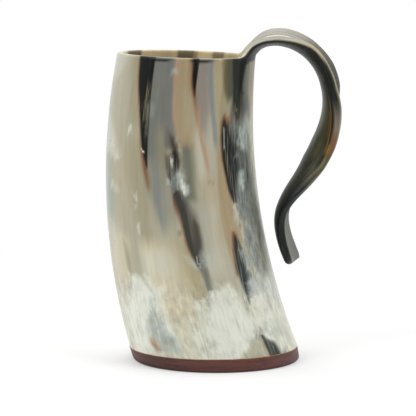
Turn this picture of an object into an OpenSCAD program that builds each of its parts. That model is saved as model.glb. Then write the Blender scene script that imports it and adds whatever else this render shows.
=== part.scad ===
// Horn drinking cup: a length of hollow horn stands on a wooden base, and a strip of the same
// horn, left on when the mouth was cut, is bent outwards and down into an open hook for a handle.
// The cup stands on Z = 0, its base is centred on the origin, and the handle is on the +X side.

/* [Cup] */
// Height of the mouth's centre above the table
cup_h = 156; // [146:0.5:175]
// Outside of the mouth, measured towards the handle
mouth_w = 70; // [62:0.5:76]
// Outside of the mouth, measured across the handle's direction
mouth_d = 68; // [60:0.5:76]
// Outside of the horn's foot, measured towards the handle
foot_w = 86; // [76:0.5:92]
// Outside of the horn's foot, measured across the handle's direction
foot_d = 83; // [74:0.5:92]
// Radius of the bend that the horn grew with
curve_r = 322; // [280:2:600]
// Height at which the bent horn stands upright
upright_h = 110; // [90:1:130]
// Slope of the mouth, down towards the handle, in degrees
mouth_tilt = 1.8; // [0:0.1:4]
// Thickness of the horn at the mouth
rim_wall = 3.2; // [2.4:0.1:4.4]
// Thickness of the horn at its foot
foot_wall = 4.6; // [3.2:0.1:6]

/* [Handle] */
// Length of the strip, from the mouth to its free end
strip_l = 147; // [140:0.5:156]
// Thickness of the strip along the handle
strip_t = 4.3; // [3.4:0.1:5]
// Radius of the strip's arched cross section, whose hollow side is the top of the handle
strip_arch_r = 14; // [12:0.5:30]
// Width of the strip just above the fillets at the mouth
strip_root_w = 24; // [20:0.5:30]
// Width of the strip where it is widest, at the outside of the bend
strip_crown_w = 26; // [20:0.5:28]
// Width of the strip just before its free end
strip_tail_w = 14; // [12:0.5:22]
// Radius of the two fillets where the strip leaves the mouth
root_fillet_r = 9.5; // [6:0.5:14]
// Radius of the free end's corners
tail_corner_r = 3; // [2:0.5:6]
// How much further the free end reaches on the side away from the front
tail_slant = 2.4; // [0:0.2:4]

/* [Base] */
// Thickness of the wooden base plate
plate_t = 6.8; // [5:0.1:10]
// Underside of the plate, measured towards the handle
plate_w = 85; // [74:0.2:92]
// Underside of the plate, measured across the handle's direction
plate_d = 82; // [74:0.2:92]
// How far the plate's sides lean back, away from the handle, from its underside to its top
plate_lean = 1.6; // [0:0.1:3]
// Radius of the plate's lower edge
plate_edge_r = 1.8; // [0.8:0.1:3.5]
// Thickness of the wooden plug inside the horn
plug_t = 8; // [5:0.5:14]
// Thickness of the glue between the plate and the horn
glue_t = 0.3; // [0.2:0.05:0.6]
// Leg of the sealing bead round the top of the plug
bead_leg = 2; // [1.2:0.1:3]

/* [Hidden] */

horn_color = "#c9c3ad";
glue_color = "#b98a4e";
wood_color = "#5a3029";
plug_color = "#6e4334";
seal_color = "#d9b877";

// Play between the horn's bore and what stands in it
bore_gap = 0.2;

// Columns of points across the strip and round the rest of the cup, and the rows up the cup
strip_columns = 10;
cup_columns = 40;
columns = strip_columns + cup_columns;
cup_rows = 14;
// Rows of points in the fillets, along the strip and in the free end's corners
fillet_rows = 6;
strip_rows = 40;
tail_rows = 4;
// Points in the rounding of the horn's cut edge, and in the plate's lower edge
edge_points = 3;
plate_edge_rows = 5;
// Short straight steps that the strip's middle line is summed from
path_steps = 150;

// Share of the strip's length, and the direction there in degrees above the handle's direction;
// the first direction is the slope of the cup's wall, which the strip leaves in line with
direction_shares = [[0.05, 36.5], [0.10, 3], [0.16, -21], [0.25, -48], [0.35, -78], [0.48, -103],
    [0.62, -119.5], [0.72, -127.5], [0.80, -113], [0.88, -81], [1, -61.5]];
// Half of the share over which each change of direction is eased, and the samples averaged in it
ease_share = 0.02;
ease_samples = [-1, -0.5, 0, 0.5, 1];
// Share of the strip's length, and the twist there in degrees
twist_shares = [[0, 0], [0.04, -1], [0.09, 6.5], [0.14, 8.5], [0.24, 5.5], [0.30, 9], [0.36, 8],
    [0.42, -2], [0.48, -12.5], [0.55, -23.5], [0.62, -25], [0.72, -9.5], [0.82, 7], [1, 22]];
// Shares of the strip's length at which its greatest width, full thickness and full arch are reached
crown_share = 0.42;
full_thickness_share = 0.35;
full_arch_share = 0.22;
// Share of the strip's length in which its cross rows turn from the mouth's slope to square
square_share = 0.06;
// Length before the free end in which its rows turn to follow the slanted cut
slant_l = 14;

foot_z = plate_t + glue_t;
plug_top_z = plate_t + plug_t;
plug_inset = foot_wall + bore_gap;
rim_round_r = rim_wall / 2;
rim_z = cup_h - rim_round_r;
// Half of the arc that the strip and its fillets take up at the mouth
root_arc = strip_root_w / 2 + root_fillet_r;

// Place of the bent horn's middle line, which stands on the middle of the plate's top
function bend_x(z) = curve_r - sqrt(pow(curve_r, 2) - pow(z - upright_h, 2));
function centre_x(z) = bend_x(z) - bend_x(foot_z) - plate_lean;

// The horn tapers evenly from foot to mouth: half widths, half depths and wall at a height
function rise(z) = (z - foot_z) / (cup_h - foot_z);
function tapered(z, foot, mouth) = foot + (mouth - foot) * rise(z);
function half_w(z) = tapered(z, foot_w, mouth_w) / 2;
function half_d(z) = tapered(z, foot_d, mouth_d) / 2;
function wall(z) = tapered(z, foot_wall, rim_wall);

// Angle that an arc covers on a circle
function arc_angle(arc, radius) = arc * 180 / (PI * radius);
root_angle = arc_angle(root_arc, mouth_d / 2);

// Angle of each column of points, with the strip's columns first
function column_angle(j) = j <= strip_columns
    ? root_angle * (2 * j / strip_columns - 1)
    : root_angle + (360 - 2 * root_angle) * (j - strip_columns) / cup_columns;

// A point of the cup at a height, set in from the outside, on a level that leans with the mouth
function ring_point(angle, z, inset) =
    let (out = (half_w(z) - inset) * cos(angle))
    [centre_x(z) + out, (half_d(z) - inset) * sin(angle), z - out * tan(mouth_tilt) * rise(z)];
function ring(z, inset) = [for (j = [0 : columns - 1]) ring_point(column_angle(j), z, inset)];

// A point of the horn on a level ring, as at its foot and on the pieces that fit its bore
function level_point(angle, z, inset) =
    [centre_x(z) + (half_w(z) - inset) * cos(angle), (half_d(z) - inset) * sin(angle), z];
function level_ring(z, inset) =
    [for (j = [0 : columns - 1]) level_point(column_angle(j), z, inset)];

// Direction that the cup's wall has at the mouth, on the handle's side
bend_slope = (rim_z - upright_h) / (curve_r - bend_x(rim_z));
taper_slope = (half_w(rim_z) - half_w(foot_z)) / (rim_z - foot_z);
wall_direction = 90 - atan(bend_slope + taper_slope);
directions = concat([[0, wall_direction]], direction_shares);
function mean(values) = values * [for (v = values) 1] / len(values);
function direction(share) =
    mean([for (e = ease_samples) lookup(share + e * ease_share, directions)]);

// Middle line of the strip, summed in short steps and looked up by its length
strip_start = let (out = half_w(rim_z) - rim_wall / 2)
    [centre_x(rim_z) + out, rim_z - out * tan(mouth_tilt) * rise(rim_z)];
path_step = strip_l / path_steps;
last_step = path_steps + ceil(tail_slant / path_step);
path = [for (
    i = 0, p = strip_start;
    i <= last_step;
    d = direction((i + 0.5) / path_steps), p = p + path_step * [cos(d), sin(d)], i = i + 1) p];
path_x = [for (i = [0 : last_step]) [i * path_step, path[i].x]];
path_z = [for (i = [0 : last_step]) [i * path_step, path[i].y]];

// Half width of the strip at a length, with the fillets at the mouth and the free end's corners
function fillet(s) = s < root_fillet_r
    ? root_fillet_r - sqrt(pow(root_fillet_r, 2) - pow(root_fillet_r - s, 2)) : 0;
function corner(s) = s > strip_l - tail_corner_r
    ? tail_corner_r - sqrt(pow(tail_corner_r, 2) - pow(s - strip_l + tail_corner_r, 2)) : 0;
function strip_half_w(s) = lookup(s / strip_l,
    [[0, strip_root_w / 2], [crown_share, strip_crown_w / 2], [1, strip_tail_w / 2]])
    + fillet(s) - corner(s);
function strip_wall(s) = lookup(s / strip_l, [[0, rim_wall], [full_thickness_share, strip_t]]);

// How far a point is moved along the strip towards the slanted cut of its free end
function slant(side, s) = tail_slant * (1 + side) / 2 * max(0, 1 - (strip_l - s) / slant_l);

// Radius of the strip's cross section, which starts as the round of the mouth, half its size
function arch_r(s, mouth_size) =
    lookup(s / strip_l, [[0, mouth_size / 2], [full_arch_share, strip_arch_r]]);

// A point of the strip, at a share of its half width and at a length, set in from its convex face
function strip_point(side, s, inset_share) =
    let (
        t = strip_wall(s),
        w_r = arch_r(s, mouth_w),
        d_r = arch_r(s, mouth_d),
        angle = side * arc_angle(strip_half_w(s), d_r),
        out = (w_r - inset_share * t) * cos(angle) - w_r + t / 2,
        across = (d_r - inset_share * t) * sin(angle),
        slope_error = 90 - mouth_tilt - wall_direction,
        tilt = direction(s / strip_l) + slope_error * max(0, 1 - s / (square_share * strip_l)),
        twist = lookup(s / strip_l, twist_shares),
        turned_out = out * cos(twist) - across * sin(twist),
        turned_across = out * sin(twist) + across * cos(twist),
        along = s + slant(side, s)
    )
    [lookup(along, path_x) + turned_out * sin(tilt), turned_across,
        lookup(along, path_z) - turned_out * cos(tilt)];

// Lengths at which the strip has a row of points, closer together in the fillets and corners
strip_s = concat(
    [for (i = [1 : fillet_rows]) root_fillet_r * (1 - cos(90 * i / fillet_rows))],
    [for (i = [1 : strip_rows])
        root_fillet_r + (strip_l - root_fillet_r - tail_corner_r) * i / strip_rows],
    [for (i = [1 : tail_rows]) strip_l - tail_corner_r * (1 - sin(90 * i / (tail_rows + 0.5)))]);

// One face of the horn: the rows up the cup, then the rows along the strip
function face_points(inset_share) = concat(
    [for (r = [0 : cup_rows])
        let (z = foot_z + (rim_z - foot_z) * r / cup_rows)
        each r == 0 ? level_ring(z, inset_share * wall(z)) : ring(z, inset_share * wall(z))],
    [for (s = strip_s) for (m = [0 : strip_columns])
        strip_point(2 * m / strip_columns - 1, s, inset_share)]);

// Numbers of the points: on the cup, and on the strip, whose row 0 is part of the mouth
face_count = (cup_rows + 1) * columns + len(strip_s) * (strip_columns + 1);
function cup_id(r, j) = r * columns + j % columns;
function strip_id(k, m) = k == 0 ? cup_id(cup_rows, m)
    : (cup_rows + 1) * columns + (k - 1) * (strip_columns + 1) + m;

// The horn's cut edge: up one side of the strip, round its end, down again and round the mouth
last_row = len(strip_s);
cut_edge = concat(
    [for (k = [0 : last_row]) strip_id(k, 0)],
    [for (m = [1 : strip_columns - 1]) strip_id(last_row, m)],
    [for (k = [last_row : -1 : 0]) strip_id(k, strip_columns)],
    [for (j = [strip_columns + 1 : columns - 1]) cup_id(cup_rows, j)]);

// Points of a half circle that joins the outer face to the inner face along the cut edge
function edge_round(outer, inner, i) =
    let (
        n = len(cut_edge),
        before = cut_edge[(i + n - 1) % n],
        after = cut_edge[(i + 1) % n],
        along = outer[after] + inner[after] - outer[before] - inner[before],
        middle = (outer[cut_edge[i]] + inner[cut_edge[i]]) / 2,
        to_outer = (outer[cut_edge[i]] - inner[cut_edge[i]]) / 2,
        away = cross(to_outer, along),
        reach = away * norm(to_outer) / norm(away)
    )
    [for (q = [1 : edge_points])
        let (turn = 180 * q / (edge_points + 1))
        middle + to_outer * cos(turn) + reach * sin(turn)];

// Two triangles of a four-sided patch
function patch(a, b, c, d) = [[a, b, c], [a, c, d]];

module horn() {
    outer = face_points(0);
    inner = face_points(1);
    n = len(cut_edge);
    edge = [for (i = [0 : n - 1]) each edge_round(outer, inner, i)];
    function edge_id(i, q) = q == 0 ? cut_edge[i % n]
        : q > edge_points ? face_count + cut_edge[i % n]
        : 2 * face_count + (i % n) * edge_points + q - 1;
    cup_faces = [for (r = [0 : cup_rows - 1]) for (j = [0 : columns - 1])
        each patch(cup_id(r, j), cup_id(r + 1, j), cup_id(r + 1, j + 1), cup_id(r, j + 1))];
    strip_faces = [for (k = [0 : last_row - 1]) for (m = [0 : strip_columns - 1])
        each patch(strip_id(k, m), strip_id(k + 1, m), strip_id(k + 1, m + 1), strip_id(k, m + 1))];
    outer_faces = concat(cup_faces, strip_faces);
    inner_faces = [for (f = outer_faces) face_count * [1, 1, 1] + [f[0], f[2], f[1]]];
    foot_faces = [for (j = [0 : columns - 1])
        each patch(cup_id(0, j), cup_id(0, j + 1),
            face_count + cup_id(0, j + 1), face_count + cup_id(0, j))];
    edge_faces = [for (i = [0 : n - 1]) for (q = [0 : edge_points])
        each patch(edge_id(i, q), edge_id(i, q + 1), edge_id(i + 1, q + 1), edge_id(i + 1, q))];
    color(horn_color)
        polyhedron(concat(outer, inner, edge),
            concat(outer_faces, inner_faces, foot_faces, edge_faces), convexity = 10);
}

// Solid skinned over level rings, from the lowest to the highest
module stack(rings) {
    rows = len(rings);
    sides = [for (r = [0 : rows - 2]) for (j = [0 : columns - 1])
        each patch(cup_id(r, j), cup_id(r + 1, j), cup_id(r + 1, j + 1), cup_id(r, j + 1))];
    bottom = [for (j = [0 : columns - 1]) j];
    top = [for (j = [columns - 1 : -1 : 0]) cup_id(rows - 1, j)];
    polyhedron([for (ring = rings) each ring], concat(sides, [bottom, top]), convexity = 4);
}

// Solid skinned over a closed series of rings, so that it goes round an open middle
module band(rings) {
    rows = len(rings);
    sides = [for (r = [0 : rows - 1]) for (j = [0 : columns - 1])
        each patch(cup_id(r, j), cup_id((r + 1) % rows, j),
            cup_id((r + 1) % rows, j + 1), cup_id(r, j + 1))];
    polyhedron([for (ring = rings) each ring], sides, convexity = 6);
}

// A ring of points moved straight up
function raised(ring, by) = [for (p = ring) p + [0, 0, by]];

// Outline of the plate at a height, which runs from its underside's size to the horn's foot
function plate_ring(z, inset) =
    let (up = z / plate_t, w = plate_w + (foot_w - plate_w) * up, d = plate_d + (foot_d - plate_d) * up)
    [for (j = [0 : columns - 1])
        let (angle = column_angle(j))
        [(w / 2 - inset) * cos(angle) - plate_lean * up, (d / 2 - inset) * sin(angle), z]];

// The glue is as wide as the horn's foot, from the plate's top up to the horn
module glue_line() {
    outside = plate_ring(plate_t, 0);
    inside = plate_ring(plate_t, foot_wall);
    color(glue_color) band([outside, raised(outside, glue_t), raised(inside, glue_t), inside]);
}

module base_plate() {
    edge_rings = [for (i = [0 : plate_edge_rows])
        let (turn = 90 * i / plate_edge_rows)
        plate_ring(plate_edge_r * (1 - cos(turn)), plate_edge_r * (1 - sin(turn)))];
    color(wood_color) stack(concat(edge_rings, [plate_ring(plate_t, 0)]));
}

// The plug stands on the plate, goes straight up through the glue and then follows the bore
module base_plug() {
    foot_ring = level_ring(foot_z, plug_inset);
    color(plug_color)
        stack([raised(foot_ring, -glue_t), foot_ring, level_ring(plug_top_z, plug_inset)]);
}

module sealing_bead() {
    color(seal_color)
        band([level_ring(plug_top_z, plug_inset), level_ring(plug_top_z + bead_leg, plug_inset),
            level_ring(plug_top_z, plug_inset + bead_leg)]);
}

horn();
glue_line();
base_plate();
base_plug();
sealing_bead();
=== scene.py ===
# Horn drinking cup: a bent length of horn with its handle strip, on a wooden base.
import math

import bpy
import numpy as np
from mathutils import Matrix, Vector


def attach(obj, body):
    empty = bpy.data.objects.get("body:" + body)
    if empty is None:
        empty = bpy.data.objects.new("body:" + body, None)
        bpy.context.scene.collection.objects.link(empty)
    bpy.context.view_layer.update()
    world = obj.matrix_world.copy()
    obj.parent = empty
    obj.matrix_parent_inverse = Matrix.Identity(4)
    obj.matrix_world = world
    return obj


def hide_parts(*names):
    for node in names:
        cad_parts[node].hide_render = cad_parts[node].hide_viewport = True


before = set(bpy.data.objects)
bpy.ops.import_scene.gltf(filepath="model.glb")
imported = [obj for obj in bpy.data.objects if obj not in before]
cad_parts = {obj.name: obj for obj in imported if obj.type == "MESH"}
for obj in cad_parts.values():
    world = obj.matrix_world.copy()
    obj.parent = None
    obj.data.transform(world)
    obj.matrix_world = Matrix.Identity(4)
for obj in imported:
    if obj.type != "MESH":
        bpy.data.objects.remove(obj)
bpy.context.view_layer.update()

mm = 0.001

# The horn's sizes in metres, the same as in the CAD model, and how uneven its surface is here
horn = {
    "Cup Height": 156 * mm,
    "Mouth Width": 70 * mm,
    "Mouth Depth": 68 * mm,
    "Foot Width": 86 * mm,
    "Foot Depth": 83 * mm,
    "Bend Radius": 322 * mm,
    "Upright Height": 110 * mm,
    "Mouth Slope": math.radians(1.8),
    "Mouth Wall": 3.2 * mm,
    "Foot Wall": 4.6 * mm,
    "Plate Lean": 1.6 * mm,
    "Foot Level": 7.1 * mm,
    "Strip Length": 147 * mm,
    "Strip Wall": 4.3 * mm,
    "Arch Radius": 14 * mm,
    "Unevenness": 0.25 * mm,
}
strip = {
    "rootWidth": 24 * mm,
    "crownWidth": 26 * mm,
    "tailWidth": 14 * mm,
    "crownShare": 0.42,
    "filletRadius": 9.5 * mm,
    "cornerRadius": 3 * mm,
    # how much further the free end reaches on the far side, and the length over which that starts
    "slant": 2.4 * mm,
    "slantLength": 14 * mm,
    "fullWallShare": 0.35,
    "fullArchShare": 0.22,
    "squareShare": 0.06,
    "easeShare": 0.02,
    "joinLength": 5 * mm,
    # the cut edge's section, from a square (0) to a half circle (1), at the mouth, strip and free end
    "mouthRoundness": 0.6,
    "stripRoundness": 0.4,
    "endRoundness": 1,
    "startLength": 12 * mm,
    "endLength": 6 * mm,
    # share of the length, and the direction there in degrees above the handle's direction
    "directions": [(0.05, 36.5), (0.10, 3), (0.16, -21), (0.25, -48), (0.35, -78), (0.48, -103),
                   (0.62, -119.5), (0.72, -127.5), (0.80, -113), (0.88, -81), (1, -61.5)],
    # share of the length, and the twist there in degrees
    "twists": [(0, 0), (0.04, -1), (0.09, 6.5), (0.14, 8.5), (0.24, 5.5), (0.30, 9), (0.36, 8),
               (0.42, -2), (0.48, -12.5), (0.55, -23.5), (0.62, -25), (0.72, -9.5), (0.82, 7), (1, 22)],
}
# How fine the meshes are
cells = {
    "stripColumns": 52,
    "cupColumns": 208,
    "cupRows": 144,
    "filletRows": 16,
    "stripRows": 120,
    "tailRows": 12,
    "edgePoints": 9,
    "guideSteps": 300,
    "sharpAngle": 50,
}


def pick(sockets, name):
    return next(s for s in sockets if s.enabled and name in (None, s.name, s.identifier))


class Value:
    # a socket on which Python's signs add Math nodes
    def __init__(self, graph, socket):
        self.graph = graph
        self.socket = socket

    def maths(self, operation, *terms):
        return self.graph.maths(operation, self, *terms)

    def __add__(self, other):
        return self.maths("ADD", other)

    def __sub__(self, other):
        return self.maths("SUBTRACT", other)

    def __mul__(self, other):
        return self.maths("MULTIPLY", other)

    def __truediv__(self, other):
        return self.maths("DIVIDE", other)

    def __pow__(self, other):
        return self.maths("POWER", other)

    def __neg__(self):
        return self.maths("MULTIPLY", -1)

    def __rsub__(self, other):
        return self.graph.maths("SUBTRACT", other, self)

    __radd__ = __add__
    __rmul__ = __mul__


class Graph:
    # a node tree, to which every other node is added by one method
    def __init__(self, tree):
        self.tree = tree
        tree.nodes.clear()

    def node(self, kind, settings=None, values=None, output=None):
        made = self.tree.nodes.new(kind)
        for name, setting in (settings or {}).items():
            setattr(made, name, setting)
        for name, value in (values or {}).items():
            self.feed(made.inputs[name] if isinstance(name, int) else pick(made.inputs, name), value)
        return Value(self, pick(made.outputs, output)) if made.outputs else made

    def feed(self, socket, value):
        if isinstance(value, Value):
            self.tree.links.new(value.socket, socket)
        elif socket.type == "RGBA" and not isinstance(value, (int, float)):
            socket.default_value = (*value[:3], 1)
        else:
            socket.default_value = value

    def maths(self, operation, *terms):
        return self.node("ShaderNodeMath", {"operation": operation}, dict(enumerate(terms)))

    def vector(self, x, y, z):
        return self.node("ShaderNodeCombineXYZ", None, {"X": x, "Y": y, "Z": z})

    def step(self, value, low, high):
        return self.node("ShaderNodeMapRange", {"interpolation_type": "SMOOTHSTEP"},
                         {"Value": value, "From Min": low, "From Max": high})

    def blend(self, factor, a, b, kind="RGBA"):
        return self.node("ShaderNodeMix", {"data_type": kind}, {"Factor": factor, "A": a, "B": b})

    def vectorMaths(self, operation, *terms, output=None):
        return self.node("ShaderNodeVectorMath", {"operation": operation}, dict(enumerate(terms)), output)

    def noise(self, place, scale, detail, roughness=0.5):
        values = {"Vector": place, "Scale": scale, "Detail": detail, "Roughness": roughness}
        return self.node("ShaderNodeTexNoise", None, values, "Fac")

    def relief(self, shader, strength, depth, height):
        values = {"Strength": strength, "Distance": depth, "Height": height}
        self.feed(shader.inputs["Normal"], self.node("ShaderNodeBump", None, values))


def added(name, data):
    made = bpy.data.objects.new(name, data)
    bpy.context.scene.collection.objects.link(made)
    return made


# Geometry trees with named inputs
def newTree(name, inputs):
    tree = bpy.data.node_groups.new(name, "GeometryNodeTree")
    tree.interface.new_socket("Geometry", in_out="OUTPUT", socket_type="NodeSocketGeometry")
    tree.interface.new_socket("Geometry", in_out="INPUT", socket_type="NodeSocketGeometry")
    kinds = {"Material": "NodeSocketMaterial", "Guide": "NodeSocketObject"}
    for label in inputs:
        tree.interface.new_socket(label, in_out="INPUT", socket_type=kinds.get(label, "NodeSocketFloat"))
    graph = Graph(tree)
    entry = tree.nodes.new("NodeGroupInput")
    size = {label: Value(graph, entry.outputs[label]) for label in ["Geometry", *inputs]}
    return graph, size


def endTree(graph, geometry, material):
    whole = graph.node("GeometryNodeRealizeInstances", None, {"Geometry": geometry})
    finished = graph.node("GeometryNodeSetMaterial", None, {"Geometry": whole, "Material": material})
    end = graph.tree.nodes.new("NodeGroupOutput")
    graph.feed(end.inputs[0], finished)


def field(graph, name, kind="FLOAT"):
    return graph.node("GeometryNodeInputNamedAttribute", {"data_type": kind}, {"Name": name})


def shaped(name, mesh, graph, inputs):
    piece = added(name, mesh)
    modifier = piece.modifiers.new("shape", "NODES")
    modifier.node_group = graph.tree
    for item in graph.tree.interface.items_tree:
        if item.in_out == "INPUT" and item.name in inputs:
            modifier[item.identifier] = inputs[item.name]
    found = piece.evaluated_get(bpy.context.evaluated_depsgraph_get())
    plain = bpy.data.meshes.new_from_object(found)
    piece.modifiers.clear()
    piece.data = plain
    plain.name = name
    return piece


def meshWith(name, points, faces, attributes, edges=()):
    mesh = bpy.data.meshes.new(name)
    mesh.from_pydata([tuple(p) for p in points], edges, faces)
    for label, values in attributes.items():
        kind = "FLOAT" if np.ndim(values) == 1 else "FLOAT_VECTOR"
        key = "value" if kind == "FLOAT" else "vector"
        mesh.attributes.new(label, kind, "POINT").data.foreach_set(key, np.ravel(values).astype("f"))
    return mesh


# Along the strip, at a distance from its root: half its width, its wall, and the slant of its end
def halfWidthAt(s):
    length, fillet, corner = horn["Strip Length"], strip["filletRadius"], strip["cornerRadius"]
    wide = np.interp(s / length, [0, strip["crownShare"], 1],
                     [strip["rootWidth"] / 2, strip["crownWidth"] / 2, strip["tailWidth"] / 2])
    atRoot = fillet - math.sqrt(fillet ** 2 - max(0, fillet - s) ** 2)
    atTail = corner - math.sqrt(corner ** 2 - max(0, s - length + corner) ** 2)
    return wide + atRoot - atTail


def wallAt(s):
    share = s / horn["Strip Length"]
    return np.interp(share, [0, strip["fullWallShare"]], [horn["Mouth Wall"], horn["Strip Wall"]])


def slanted(s, side):
    start = max(0, 1 - (horn["Strip Length"] - s) / strip["slantLength"])
    return s + strip["slant"] * (1 + side) / 2 * start


# Where the strip has its cross rows: closer together in the root's fillets and the end's corners
def stripRows():
    length, fillet, corner = horn["Strip Length"], strip["filletRadius"], strip["cornerRadius"]
    nFillet, nStrip, nTail = cells["filletRows"], cells["stripRows"], cells["tailRows"]
    rows = [fillet * (1 - math.cos(math.pi / 2 * i / nFillet)) for i in range(1, nFillet + 1)]
    rows += [fillet + (length - fillet - corner) * i / nStrip for i in range(1, nStrip + 1)]
    return rows + [length - corner * (1 - math.sin(math.pi / 2 * i / (nTail + 0.5)))
                   for i in range(1, nTail + 1)]


# Points that round the cut edge from the outer to the inner face, with their depth in the wall
def roundedEdge(flat, cut, girth):
    length, count = horn["Strip Length"], cells["edgePoints"]
    stretches = [0, strip["startLength"], length - strip["endLength"], length]
    middle = strip["stripRoundness"]
    rounds = [strip["mouthRoundness"], middle, middle, strip["endRoundness"]]
    points, insets, onStrip = [], [], []
    for i, here in enumerate(cut):
        before, after = flat[cut[i - 1]], flat[cut[(i + 1) % len(cut)]]
        around, up = after[0] - before[0], after[1] - before[1]
        around -= girth * round(around / girth)
        size = math.hypot(around, up)
        x, y, isStrip = flat[here]
        half = wallAt(max(0, y)) / 2
        roundness = np.interp(y, stretches, rounds)
        for p in range(1, count + 1):
            turn = math.pi * p / (count + 1)
            reach = half * math.sin(turn) ** roundness
            side = math.copysign(abs(math.cos(turn)) ** roundness, math.cos(turn))
            points.append((x - up / size * reach, y + around / size * reach, 0))
            insets.append((1 - side) / 2)
            onStrip.append(1 if isStrip or i == 0 else 0)
    return points, insets, onStrip


# The horn as a straight tube with its strip standing up from the mouth, still to be bent
def straightHorn():
    mouthRadius = horn["Mouth Depth"] / 2
    rim = horn["Cup Height"] - horn["Mouth Wall"] / 2
    rootAngle = (strip["rootWidth"] / 2 + strip["filletRadius"]) / mouthRadius
    nStrip, nCup, nRows = cells["stripColumns"], cells["cupColumns"], cells["cupRows"]
    columns = nStrip + nCup
    angles = [rootAngle * (2 * j / nStrip - 1) for j in range(nStrip)]
    angles += [rootAngle + (2 * math.pi - 2 * rootAngle) * j / nCup for j in range(nCup)]
    rows = stripRows()
    last = len(rows)
    # each point has its way round, its height from the mouth, and whether it is on the strip
    flat = [(angle * mouthRadius, (horn["Foot Level"] - rim) * (1 - r / nRows), 0)
            for r in range(nRows + 1) for angle in angles]
    flat += [(halfWidthAt(s) * side, slanted(s, side), 1)
             for s in rows for side in np.linspace(-1, 1, nStrip + 1)]
    count = len(flat)

    def cupId(r, j):
        return r * columns + j % columns

    def stripId(k, m):
        return cupId(nRows, m) if k == 0 else (nRows + 1) * columns + (k - 1) * (nStrip + 1) + m

    def patch(name, k, m):
        return [name(k, m), name(k, m + 1), name(k + 1, m + 1), name(k + 1, m)]

    outer = [patch(cupId, r, j) for r in range(nRows) for j in range(columns)]
    outer += [patch(stripId, k, m) for k in range(last) for m in range(nStrip)]
    inner = [[count + i for i in reversed(f)] for f in outer]
    foot = [[count + cupId(0, j), count + cupId(0, j + 1), cupId(0, j + 1), cupId(0, j)]
            for j in range(columns)]

    # the cut edge runs up one side of the strip, round its end, down again and round the mouth
    cut = [stripId(k, 0) for k in range(last + 1)]
    cut += [stripId(last, m) for m in range(1, nStrip)]
    cut += [stripId(k, nStrip) for k in range(last, -1, -1)]
    cut += [cupId(nRows, j) for j in range(nStrip + 1, columns)]
    rounded, insets, edgeOnStrip = roundedEdge(flat, cut, 2 * math.pi * mouthRadius)
    n, q = len(cut), cells["edgePoints"]

    def edgeId(i, p):
        i %= n
        return cut[i] if p == 0 else count + cut[i] if p > q else 2 * count + i * q + p - 1

    edge = [[edgeId(i, p), edgeId(i + 1, p), edgeId(i + 1, p + 1), edgeId(i, p + 1)]
            for i in range(n) for p in range(q + 1)]
    everywhere = np.array(flat + flat + rounded)
    inset = np.array([0.0] * count + [1.0] * count + insets)
    onStrip = np.array([f[2] for f in flat] * 2 + edgeOnStrip, float)
    around = everywhere[:, 0] / mouthRadius
    radius = mouthRadius - inset * horn["Mouth Wall"]
    points = np.stack([radius * np.cos(around), radius * np.sin(around), everywhere[:, 1]], 1)
    attributes = {"around": around, "along": everywhere[:, 1], "inset": inset, "strip": onStrip,
                  "grain": points}
    return points, outer + inner + foot + edge, attributes


# The strip's guide line, summed from its directions, with the tilt and twist of its cross rows
def stripGuide():
    rim = horn["Cup Height"] - horn["Mouth Wall"] / 2
    bend, upright = horn["Bend Radius"], horn["Upright Height"]

    def bendX(z):
        return bend - math.sqrt(bend ** 2 - (z - upright) ** 2)

    height = horn["Cup Height"] - horn["Foot Level"]
    rise = (rim - horn["Foot Level"]) / height
    halfMouth = (horn["Foot Width"] + (horn["Mouth Width"] - horn["Foot Width"]) * rise) / 2
    taper = (horn["Mouth Width"] - horn["Foot Width"]) / 2 / height
    lean = (rim - upright) / (bend - bendX(rim))
    wallDirection = 90 - math.degrees(math.atan(lean + taper))
    shares, turns = zip((0, wallDirection), *strip["directions"])
    ease = strip["easeShare"]

    def direction(share):
        return sum(np.interp(share + e * ease, shares, turns) for e in (-1, -0.5, 0, 0.5, 1)) / 5

    steps = cells["guideSteps"]
    out = halfMouth - horn["Mouth Wall"] / 2
    x = bendX(rim) - bendX(horn["Foot Level"]) - horn["Plate Lean"] + out
    z = rim - out * math.tan(horn["Mouth Slope"]) * rise
    squareError = 90 - math.degrees(horn["Mouth Slope"]) - wallDirection
    twistShares, twists = zip(*strip["twists"])
    points, tilt, twist = [], [], []
    last = steps + math.ceil(strip["slant"] / horn["Strip Length"] * steps)
    for i in range(last + 1):
        share = i / steps
        points.append((x, 0, z))
        tilt.append(math.radians(direction(share) + squareError * max(0, 1 - share / strip["squareShare"])))
        twist.append(math.radians(np.interp(share, twistShares, twists)))
        way = math.radians(direction((i + 0.5) / steps))
        x += horn["Strip Length"] / steps * math.cos(way)
        z += horn["Strip Length"] / steps * math.sin(way)
    mesh = meshWith("stripGuide", points, [], {"tilt": np.array(tilt), "twist": np.array(twist)},
                    [(i, i + 1) for i in range(last)])
    return added("stripGuide", mesh)


# Outline of the bent, tapered horn at a level: its middle and its half sizes
def outline(graph, size, level):
    def bendX(z):
        return size["Bend Radius"] - (size["Bend Radius"] ** 2 - (z - size["Upright Height"]) ** 2) ** 0.5

    rise = (level - size["Foot Level"]) / (size["Cup Height"] - size["Foot Level"])
    middle = bendX(level) - bendX(size["Foot Level"]) - size["Plate Lean"]
    halfW = (size["Foot Width"] + (size["Mouth Width"] - size["Foot Width"]) * rise) / 2
    halfD = (size["Foot Depth"] + (size["Mouth Depth"] - size["Foot Depth"]) * rise) / 2
    return rise, middle, halfW, halfD


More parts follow.
